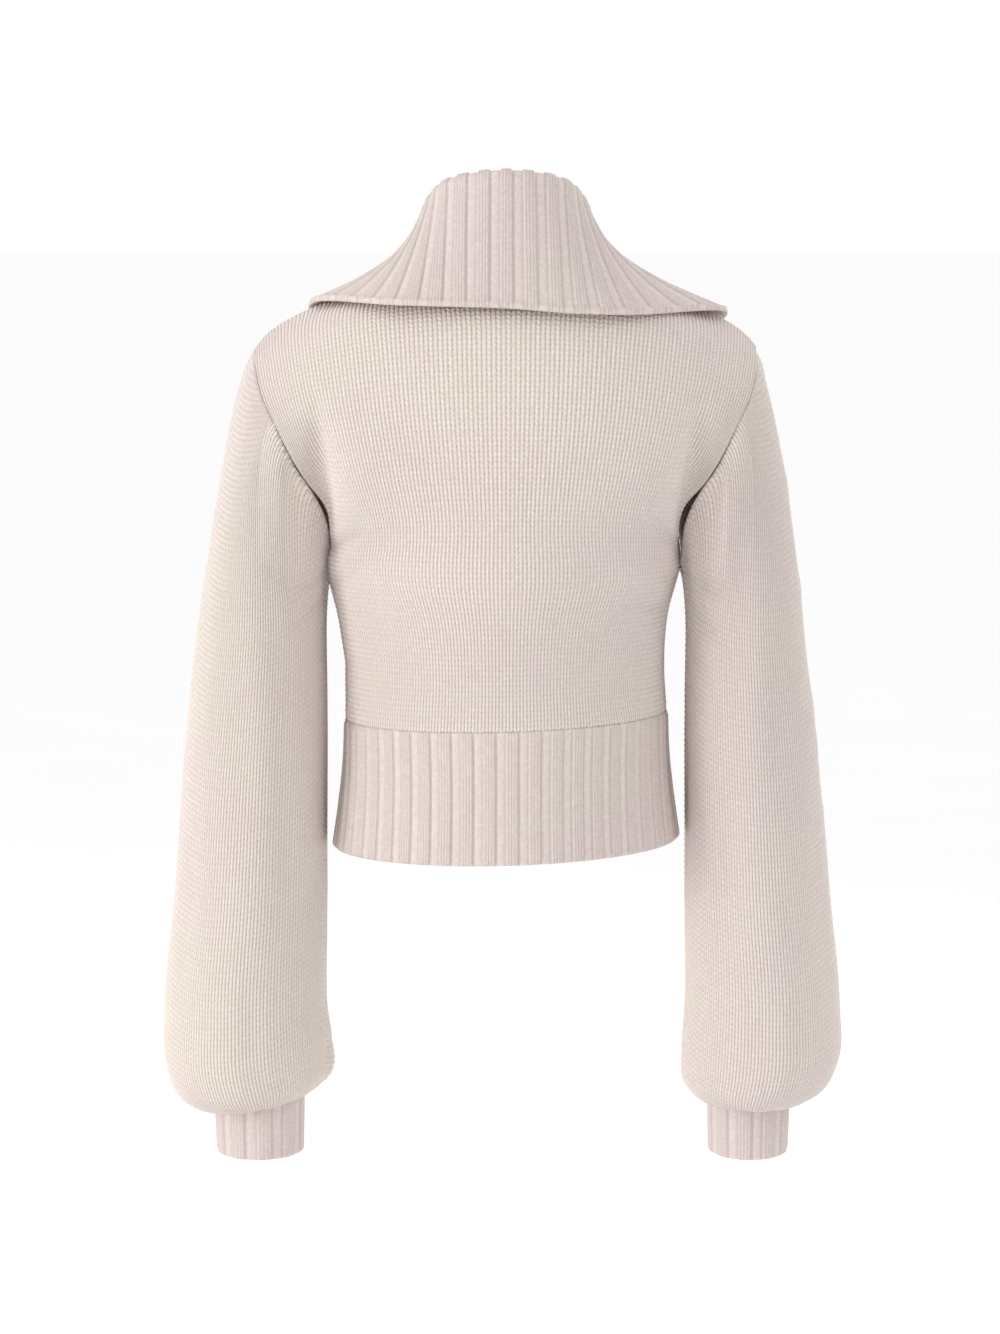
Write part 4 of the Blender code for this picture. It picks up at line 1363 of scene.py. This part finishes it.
@dataclass(frozen=True)
class ThreadFinish:
    """Twisted sewing thread."""

    name: str = "button_thread"
    colour: Colour = (0.70, 0.60, 0.52, 1.0)
    shade: Colour = (0.50, 0.40, 0.34, 1.0)

    def material(self) -> bpy.types.Material:
        """Makes the material.

        Returns:
            The finished material.
        """
        desk = Desk(self.name)
        twist = desk.noise(3000.0, 1.0)
        return desk.finished({
            "Base Color": desk.mix(twist, self.shade, self.colour),
            "Roughness": desk.spread(twist, 0.2, 0.8, 0.6, 0.8),
            "Normal": desk.bump(twist, 0.0002),
        })


@dataclass(frozen=True)
class Finishes:
    """The materials that the pieces share."""

    plain: bpy.types.Material
    rib: bpy.types.Material
    shell: bpy.types.Material
    thread: bpy.types.Material


def dress(piece: Item, material: bpy.types.Material, slot: str, *nodes: str) -> Item:
    """Gives a piece its finish and its place in the frame.

    Args:
        piece: The piece.
        material: Its material.
        slot: The record's material slot; not used.
        nodes: The solids that it stands for.

    Returns:
        The piece.
    """
    piece.data.materials.append(material)
    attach(piece, "root")
    if nodes:
        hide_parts(*nodes)
    return piece


# ---- sub-assemblies


@dataclass
class Panels:
    """The back and the two fronts."""

    form: BodyForm
    finishes: Finishes
    back_wales: int = 62
    front_wales: int = 28
    course: float = 3.75
    front_swing: float = 6.0
    back_creases: tuple[Crease, ...] = (
        Crease((60, 108, -205), (118, 66, -185), 13.0, 2.2),
        Crease((-58, 108, -212), (-118, 66, -190), 13.0, 2.0),
        Crease((78, 92, -262), (112, 40, -236), 11.0, 1.8),
        Crease((-84, 90, -270), (-112, 40, -246), 11.0, 1.7),
        Crease((-70, 82, -318), (-104, 52, -286), 12.0, 2.0),
        Crease((30, 112, -128), (96, 98, -112), 17.0, 1.6),
        Crease((-26, 112, -150), (-92, 98, -128), 17.0, 1.5),
        Crease((46, 90, -300), (98, 60, -312), 10.0, -1.2),
        WAIST_RIDGE,
        Crease((134, 60, -92), (127, 60, -196), 6.5, 6.0, through=True),
        Crease((-136, 60, -86), (-126, 60, -204), 6.5, 6.5, through=True),
        Crease((124, 60, -200), (104, 100, -186), 5.0, 2.6, through=True),
        Crease((122, 60, -226), (98, 100, -206), 6.0, 2.4, through=True),
        Crease((-124, 60, -196), (-102, 100, -178), 5.0, 2.6, through=True),
        Crease((-121, 60, -222), (-94, 100, -200), 6.0, 2.4, through=True),
        Crease((-118, 60, -246), (-92, 90, -232), 6.0, 2.2, through=True),
    )
    front_creases: tuple[Crease, ...] = (
        Crease((118, -66, -182), (62, -112, -200), 13.0, 2.1, sway=UP),
        Crease((112, -40, -238), (76, -92, -262), 11.0, 1.7, sway=UP),
        Crease((96, -96, -124), (34, -112, -150), 17.0, 1.5, sway=DOWN),
        Crease((40, -98, -306), (96, -64, -292), 12.0, 1.6, sway=UP),
    )

    def build(self) -> list[Item]:
        """Makes the three panels.

        Returns:
            The dressed pieces.
        """
        knit = Knit(STOCKINETTE, self.course)
        back = Wall("back_knit", self.form.back, knit, self.back_wales, -1.0, low=Border.JOINED,
                    creases=self.back_creases, after=self.form.leaned).build()
        dress(back, self.finishes.plain, "plain_knit", "back_panel")
        pieces = [back]
        for side in Side:
            creases = [crease.on(side, self.front_swing * side.value) for crease in self.front_creases]
            if side is Side.LEFT:
                creases.insert(0, WAIST_RIDGE)

            def surface(places: Array, side: Side = side) -> Array:
                """The front on its own side."""
                return side.own(self.form.left_front(places))

            front = Wall(f"{side.word}_front_knit", surface, knit, self.front_wales, side.value,
                         low=Border.JOINED, creases=tuple(creases), after=self.form.leaned).build()
            dress(front, self.finishes.plain, "plain_knit", f"{side.word}_front")
            pieces.append(front)
        return pieces


@dataclass
class Sleeve:
    """A balloon sleeve and its cuff. Creases are given on the left side."""

    side: Side
    form: SleeveForm
    finishes: Finishes
    swing: float
    own_creases: tuple[Crease, ...]
    wales: int = 82
    course: float = 4.2
    lines: tuple[float, ...] = (0.0, 1.0)
    cuff_repeats: int = 10
    cuff_course: float = 3.9
    cuff_steps: int = 12
    cuff_rings: tuple[SleeveRing, ...] = (
        SleeveRing(-659.0, 152.8, 211.2, -20.5, 30.0),
        SleeveRing(-638.0, 152.2, 211.8, -19.5, 30.6),
        SleeveRing(-618.0, 151.8, 212.2, -18.5, 31.0),
    )
    seam_gap: float = 0.34
    long_creases: tuple[Crease, ...] = (
        Crease((150, 70, -122), (139, 60, -214), 8.0, 3.4),
        Crease((166, 70, -118), (152, 66, -206), 8.0, -1.6, sway=UP),
        Crease((133, 20, -214), (150, 62, -232), 5.5, 2.8),
        Crease((132, 20, -236), (152, 62, -262), 6.5, 2.6, sway=UP),
        Crease((172, 74, -150), (158, 62, -300), 12.0, 2.2, sway=OUT),
        Crease((198, 62, -262), (190, 66, -420), 15.0, 2.0, sway=UP),
        Crease((160, 60, -330), (150, 56, -520), 13.0, 2.4, sway=IN),
        Crease((224, 40, -380), (234, 34, -560), 16.0, 1.9, sway=DOWN),
        Crease((186, 70, -500), (182, 62, -600), 12.0, 2.0),
        Crease((176, -78, -170), (160, -74, -320), 13.0, 2.1, sway=IN),
        Crease((206, -66, -300), (214, -76, -470), 15.0, 2.0, sway=UP),
        Crease((156, -70, -400), (158, -84, -560), 13.0, 2.2),
        Crease((140, 44, -226), (176, 70, -214), 9.0, 1.8, sway=UP),
        Crease((136, -30, -236), (168, -68, -226), 9.0, 1.8),
        Crease((252, -14, -520), (246, -20, -400), 17.0, 1.8, sway=UP),
        Crease((133, 4, -330), (133, -6, -470), 14.0, 1.8),
    )
    gathers: tuple[float, ...] = (12, 46, 78, 104, 141, 172, 207, 236, 262, 297, 331)
    gather_turn: float = 3.0
    gather_ring: int = 5
    gather_low: float = -622.0
    gather_high: float = -574.0
    gather_narrow: tuple[float, float] = (0.66, 0.62)
    gather_wide: tuple[float, float] = (1.004, 1.03)

    def creases(self) -> tuple[Crease, ...]:
        """Long soft troughs down the arm, and the short ones of the gathers above the cuff.

        Returns:
            The creases on this sleeve's own side.
        """
        found = [crease.on(self.side, self.swing) for crease in self.long_creases + self.own_creases]
        ring = self.form.rings[self.gather_ring]
        centre = (ring.inner + ring.outer) / 2.0
        for k, angle in enumerate(self.gathers):
            turn = math.radians(angle + self.gather_turn * self.side.value)
            x = -(ring.outer - ring.inner) / 2.0 * math.cos(turn)
            y = ring.half_depth * math.sin(turn)
            low = (centre + x * self.gather_narrow[0], ring.centre_y + y * self.gather_narrow[1],
                   self.gather_low)
            high = ((centre + x) * self.gather_wide[0], (ring.centre_y + y) * self.gather_wide[1],
                    self.gather_high + 9.0 * math.sin(2.3 * k))
            width = 5.5 + 1.2 * math.sin(1.7 * k)
            found.append(Crease(low, high, width, 1.9 + 0.7 * math.cos(2.1 * k)).on(self.side))
        return tuple(found)

    def sleeve_surface(self, places: Array) -> Array:
        """Dense points of the sleeve on its own side, the row at the cuff's seam first."""
        return self.side.own(self.form.surface(places))

    def cuff_surface(self, places: Array) -> Array:
        """The cuff on its own side, its ribs centred.

        Args:
            places: Places from its inner side round by the back.

        Returns:
            Dense points, lowest row first.
        """
        turns = (places + 0.25 / self.cuff_repeats) % 1.0
        rows = []
        for ring in self.cuff_rings:
            points = self.form.ring_points(ring, turns)
            points[:, 2] = ring.z
            rows.append(points)
        rows.append(self.form.ring_points(self.form.rings[-1], turns) - self.seam_gap * np.array(UP))
        return self.side.own(loft(rows, self.cuff_steps))

    def build(self) -> list[Item]:
        """Makes the sleeve and its cuff.

        Returns:
            The dressed pieces.
        """
        word = self.side.word
        sleeve = Wall(f"{word}_sleeve_knit", self.sleeve_surface, Knit(STOCKINETTE, self.course, self.lines),
                      self.wales, -self.side.value, closed=True, creases=self.creases(), inner_step=7.0,
                      inner_every=4).build()
        dress(sleeve, self.finishes.plain, "plain_knit", f"{word}_sleeve_back", f"{word}_sleeve_front")
        cuff = Wall(f"{word}_cuff_knit", self.cuff_surface, Knit(WIDE_RIB, self.cuff_course),
                    self.cuff_repeats, -self.side.value, closed=True, low=Border.PLAIN,
                    inner_every=1).build()
        dress(cuff, self.finishes.rib, "rib_knit", f"{word}_cuff")
        return [sleeve, cuff]


LEFT_CREASES = (
    Crease((138, -14, -570), (139, -14, -606), 13.0, -4.5),
    Crease((238, -14, -592), (216, -14, -618), 19.0, 8.5),
    Crease((222, -14, -200), (236, -14, -330), 30.0, -3.0),
)
RIGHT_CREASES = (
    Crease((181, -8, -62), (204, -8, -158), 30.0, 6.5),
    Crease((198, -8, -150), (215, -8, -232), 28.0, 5.0),
    Crease((212, -8, -226), (226, -8, -322), 28.0, 5.0),
    Crease((232, -8, -340), (238, -8, -398), 24.0, 2.5),
)


@dataclass
class Hem:
    """The three ribbed pieces of the hem."""

    form: BodyForm
    finishes: Finishes
    back_ribs: int = 19
    front_ribs: int = 9
    course: float = 4.0
    end_room: float = 0.4
    steps: int = 14
    first_still: float = 0.30
    last_still: float = 0.55

    def shares(self, places: Array, ribs: int) -> Array:
        """Places with their ribs centred, while the piece's two side edges stay.

        Args:
            places: Places across a piece.
            ribs: Its number of ribs.

        Returns:
            One share of the piece's width for each place.
        """
        shift = 0.25 / ribs
        moved = places.copy()
        start = places * ribs < self.first_still
        moved[start] = places[start] - shift * (1.0 - places[start] * ribs / self.first_still)
        end = (1.0 - places) * ribs < self.last_still
        reach = (places[end] - 1.0) * ribs / self.last_still + 1.0
        moved[end] = places[end] - shift * smooth(0.0, 1.0, reach)
        return np.clip(moved + shift, 0.0, 1.0)

    def surface(self, side: Side | None, ribs: int) -> Shape:
        """The surface of a piece.

        Args:
            side: The side of a front, or None for the back.
            ribs: The piece's number of ribs.

        Returns:
            A function from places to dense points, lowest row first.
        """
        def across(places: Array) -> Array:
            """The piece's points, from its side seam or the back's right one.

            Args:
                places: Places across the piece.

            Returns:
                Dense points, lowest row first.
            """
            rows = []
            for ring in self.form.hem_rings:
                start = -math.radians(ring.seam)
                end = -start
                if side:
                    start = side.value * math.radians(ring.seam)
                    end = side.value * (math.pi - math.asin((self.form.band_half + self.end_room)
                                                            / ring.half_width))
                angle = start + (end - start) * self.shares(places, ribs)
                depth = np.where(np.cos(angle) > 0.0, ring.back, ring.front)
                rows.append(np.stack([ring.half_width * np.sin(angle), depth * np.cos(angle),
                                      np.full_like(angle, ring.z)], axis=-1))
            return loft(rows, self.steps)

        return across

    def build(self) -> list[Item]:
        """Makes the three pieces.

        Returns:
            The dressed pieces.
        """
        pieces = []
        for name, side, ribs, turn, flat in (
            ("back", None, self.back_ribs, -1.0, (0.285, 0.095)),
            ("left_front", Side.LEFT, self.front_ribs, -1.0, (0.190, 0.097)),
            ("right_front", Side.RIGHT, self.front_ribs, 1.0, (0.190, 0.097)),
        ):
            piece = Wall(f"{name}_hem_knit", self.surface(side, ribs), Knit(WIDE_RIB, self.course), ribs,
                         turn, low=Border.PLAIN, high=Border.JOINED, inner_every=1,
                         after=self.form.leaned).build()
            dress(piece, self.finishes.rib, "rib_knit", f"{name}_hem_rib")
            pieces.append(piece)
        return pieces


@dataclass
class Collar:
    """The wide folded collar."""

    form: CollarForm
    finishes: Finishes
    ribs: int = 40
    course: float = 4.1

    def build(self) -> list[Item]:
        """Makes the collar.

        Returns:
            The dressed collar.
        """
        collar = Wall("collar_knit", self.form.surface, Knit(WIDE_RIB, self.course), self.ribs, 1.0,
                      high=Border.ROLLED, left=Border.PLAIN, right=Border.PLAIN, inner_step=4.5).build()
        dress(collar, self.finishes.rib, "rib_knit", "collar")
        return [collar]


@dataclass
class ButtonFront:
    """The two button bands and the six buttons with their thread."""

    form: BodyForm
    finishes: Finishes
    lift_over: float = 1.5
    lift_under: float = -1.45
    band_edge: float = 0.17
    band_wales: int = 5
    course: float = 3.9
    levels: tuple[float, ...] = (-92.0, -154.0, -216.0, -278.0, -340.0, -398.0)
    button_lift: float = 0.5
    segments: int = 48
    profile: tuple[tuple[float, float], ...] = (
        (6.4, 0.0), (7.6, 0.25), (8.5, 0.8), (8.95, 1.5), (8.98, 2.2), (8.7, 2.8),
        (8.15, 3.08), (7.6, 2.95), (7.1, 2.6), (6.6, 2.3), (5.4, 2.08), (3.2, 1.96),
    )
    hole_place: float = 1.75
    hole_radius: float = 1.0
    hole_ends: tuple[float, float] = (-2.5, 5.5)
    hole_segments: int = 18
    thread_radius: float = 0.36
    thread_sides: int = 8
    thread_steps: int = 15
    thread_reach: float = 2.55
    thread_aside: float = 0.38
    thread_height: float = 2.15
    thread_bow: float = 0.45
    thread_cross: float = 0.35
    thread_bend: float = 0.8
    thread_dive: float = 4.8

    def line(self, lift: float) -> tuple[Array, Array]:
        """The dense centre front line at a height over the panels.

        Args:
            lift: The height.

        Returns:
            Its points and their outward normals.
        """
        points = self.form.front_line()
        normals = unit(np.cross(unit(np.gradient(points, axis=0)), np.array(IN)))
        return points + lift * normals, normals

    def band(self, side: Side, lift: float, edge: float) -> Item:
        """Makes one band, of wales of stockinette whose outer two may be raised.

        Args:
            side: Its side.
            lift: Its height over the panels.
            edge: The height of its outer two wales.

        Returns:
            The dressed band.
        """
        def surface(places: Array) -> Array:
            """Dense points at places from the right to the left."""
            reach = (2.0 * places - 1.0) * (self.form.band_half - self.band_edge)
            return self.line(lift)[0][:, None] + reach[None, :, None] * np.array(OUT)

        wales = []
        for k in range(self.band_wales):
            for wale in STOCKINETTE:
                raised = edge if wale.place > 0.0 and k in (0, self.band_wales - 1) else 0.0
                wales.append(replace(wale, place=(k + wale.place) / self.band_wales,
                                     raised=wale.raised + raised, shade=0.0))
        band = Wall(f"{side.word}_band_knit", surface, Knit(tuple(wales), self.course), 1, 1.0,
                    low=Border.PLAIN, high=Border.PLAIN, left=Border.PLAIN, right=Border.PLAIN,
                    inner_every=3, after=self.form.leaned).build()
        dress(band, self.finishes.plain, "rib_knit", f"{side.word}_button_band")
        return band

    def button_mesh(self) -> bpy.types.Mesh:
        """A turned button with a soft rim, a dish and four drilled holes.

        Returns:
            The mesh, lying in the XY plane and facing +Z, in metres.
        """
        blank = [np.array([circle(radius, height, self.segments) for radius, height in self.profile])]
        ends = (-self.hole_place, self.hole_place)
        places = [(x, y) for x in ends for y in ends]
        holes = [np.array([circle(self.hole_radius, height, self.hole_segments, place)
                           for height in self.hole_ends]) for place in places]
        button = linked("button_blank", skinned("button", blank))
        drill = linked("button_drills", skinned("button_drills", holes))
        cut = button.modifiers.new("holes", "BOOLEAN")
        cut.operation = "DIFFERENCE"
        cut.object = drill
        depsgraph = bpy.context.evaluated_depsgraph_get()
        mesh = bpy.data.meshes.new_from_object(button.evaluated_get(depsgraph))
        for item in (button, drill):
            bpy.data.objects.remove(item, do_unlink=True)
        mesh.transform(Matrix.Scale(MM, 4))
        mesh.shade_smooth()
        mesh.set_sharp_from_angle(angle=math.radians(40.0))
        return mesh

    def thread_mesh(self) -> bpy.types.Mesh:
        """Two crossed stitches of doubled thread through the four holes.

        Returns:
            The mesh in the button's own frame, in metres.
        """
        part = np.linspace(-1.0, 1.0, self.thread_steps)[:, None]
        dive = self.thread_dive * np.maximum(0.0, np.abs(part) - self.thread_bend)
        height = self.thread_height + self.thread_bow * np.cos(part * math.pi / 2.0) - dive
        around = 2.0 * math.pi * np.arange(self.thread_sides)[:, None] / self.thread_sides
        tubes = []
        for angle, rise in ((math.radians(45.0), 0.0), (math.radians(135.0), self.thread_cross)):
            run = np.array([math.cos(angle), math.sin(angle), 0.0])
            across = np.array([-run[1], run[0], 0.0])
            for aside in (-self.thread_aside, self.thread_aside):
                path = run * part * self.thread_reach + across * aside + (height + rise) * np.array(UP)
                runs = unit(np.gradient(path, axis=0))
                side = unit(np.cross(runs, np.array(UP)))[:, None]
                up = np.cross(side, runs[:, None])
                ring = np.cos(around) * side - np.sin(around) * up
                tubes.append(path[:, None] + self.thread_radius * ring)
        mesh = skinned("button_thread", tubes)
        mesh.transform(Matrix.Scale(MM, 4))
        mesh.shade_smooth()
        return mesh

    def build(self) -> list[Item]:
        """Makes the bands, the buttons and their thread.

        Returns:
            The dressed pieces.
        """
        pieces = [self.band(Side.RIGHT, self.lift_over, 0.7), self.band(Side.LEFT, self.lift_under, 0.0)]
        points, normals = self.line(0.0)
        rows = np.arange(len(points))
        button_mesh = self.button_mesh()
        thread_mesh = self.thread_mesh()
        for number, level in enumerate(self.levels, start=1):
            row = np.interp([-level], -points[::-1, 2], rows[::-1])
            facing = unit(along_rows(normals, row))[0]
            upward = unit(np.cross(facing, np.array(OUT)))
            middle = along_rows(points, row) + facing * (self.lift_over + self.button_lift)
            stance = np.eye(4)
            stance[:3] = np.stack([np.cross(upward, facing), upward, facing,
                                   self.form.leaned(middle)[0] * MM], axis=-1)
            for name, mesh, material, nodes in (
                (f"button_{number}_shell", button_mesh, self.finishes.shell, (f"button_{number}",)),
                (f"button_{number}_thread", thread_mesh, self.finishes.thread, ()),
            ):
                own = mesh.copy()
                own.transform(Matrix(stance.tolist()))
                pieces.append(dress(linked(name, own), material, "button", *nodes))
        return pieces


# ---- studio


@dataclass(frozen=True)
class Studio:
    """A pale floor, soft light and the camera. A lamp is a place, a size, a power and a colour."""

    target: Vec = (0.0044, 0.0, -0.290)
    eye: Vec = (0.0044, 2.600, 0.090)
    lens: float = 97.1
    sensor: float = 36.0
    clip_end: float = 100.0
    floor_z: float = -1.20
    floor_radius: float = 40.0
    floor_sides: int = 96
    floor_colours: tuple[Colour, Colour] = ((0.96, 0.96, 0.96, 1.0), (0.98, 0.98, 0.98, 1.0))
    lamps: tuple[tuple[str, Vec, float, float, Vec], ...] = (
        ("key", (3.1, 1.5, 0.1), 1.2, 36.0, (1.0, 0.985, 0.95)),
        ("back", (0.4, 2.8, 0.3), 1.6, 2.0, (1.0, 0.97, 0.96)),
        ("front", (-1.2, -2.4, 0.9), 1.4, 14.0, (1.0, 0.99, 0.98)),
    )

    def aim(self, item: Item) -> None:
        """Turns a camera or lamp towards the garment."""
        item.rotation_euler = (Vector(self.target) - item.location).to_track_quat("-Z", "Y").to_euler()

    def build(self) -> None:
        """Makes the floor, an even pale surround, the lamps and the camera."""
        mesh = bpy.data.meshes.new("floor")
        mesh.from_pydata(circle(self.floor_radius, 0.0, self.floor_sides).tolist(), [],
                         [list(range(self.floor_sides))])
        desk = Desk("floor_paint")
        mesh.materials.append(desk.finished({
            "Base Color": desk.mix(desk.noise(3.0, 2.0), *self.floor_colours),
            "Roughness": 0.9,
            "Specular IOR Level": 0.0,
        }))
        linked("floor", mesh, (0.0, 0.0, self.floor_z))

        scene = bpy.context.scene
        scene.world = bpy.data.worlds.new("studio")
        scene.world.use_nodes = True
        surround = scene.world.node_tree.nodes["Background"].inputs
        surround["Color"].default_value = (1.0, 1.0, 1.0, 1.0)
        surround["Strength"].default_value = 1.0
        for name, place, size, power, colour in self.lamps:
            lamp = bpy.data.lights.new(name, "AREA")
            lamp.shape = "DISK"
            lamp.size = size
            lamp.energy = power
            lamp.color = colour
            self.aim(linked(name, lamp, place))

        camera = bpy.data.cameras.new("camera")
        camera.lens = self.lens
        camera.sensor_width = self.sensor
        camera.clip_end = self.clip_end
        scene.camera = linked("camera", camera, self.eye)
        self.aim(scene.camera)
        scene.view_settings.view_transform = "Standard"


def main() -> None:
    """Builds every piece of the cardigan around its frame."""
    logging.basicConfig(level=logging.INFO, format="%(message)s")
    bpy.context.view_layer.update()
    finishes = Finishes(
        plain=YarnFinish("cream_stockinette", rib=False).material(),
        # The ribs' yarn is the stockinette's yarn painted darker, as painted shade, with more painted shade
        # in its grooves and less in its holes.
        rib=YarnFinish("cream_rib", rib=True, cream=(0.682, 0.598, 0.560, 1.0),
                       pink=(0.680, 0.574, 0.566, 1.0), leg_bump=0.42, hole_shade_weight=0.22, groove_shade_weight=0.50,
                       beads=0.20).material(),
        shell=ShellFinish().material(),
        thread=ThreadFinish().material(),
    )
    body = BodyForm()
    assemblies = (
        Panels(body, finishes),
        Sleeve(Side.LEFT, SleeveForm(body, tilt=8.0, spread=4.5), finishes, 5.0, LEFT_CREASES),
        Sleeve(Side.RIGHT, SleeveForm(body, tilt=0.0, spread=-1.0), finishes, -4.0, RIGHT_CREASES),
        Hem(body, finishes),
        Collar(CollarForm(body), finishes),
        ButtonFront(body, finishes),
    )
    total = 0
    for assembly in assemblies:
        for piece in assembly.build():
            count = len(piece.data.loops) - 2 * len(piece.data.polygons)
            total += count
            LOG.info("%s: %d triangles", piece.name, count)
    LOG.info("all pieces: %d triangles", total)
    Studio().build()


if __name__ == "__main__":
    main()
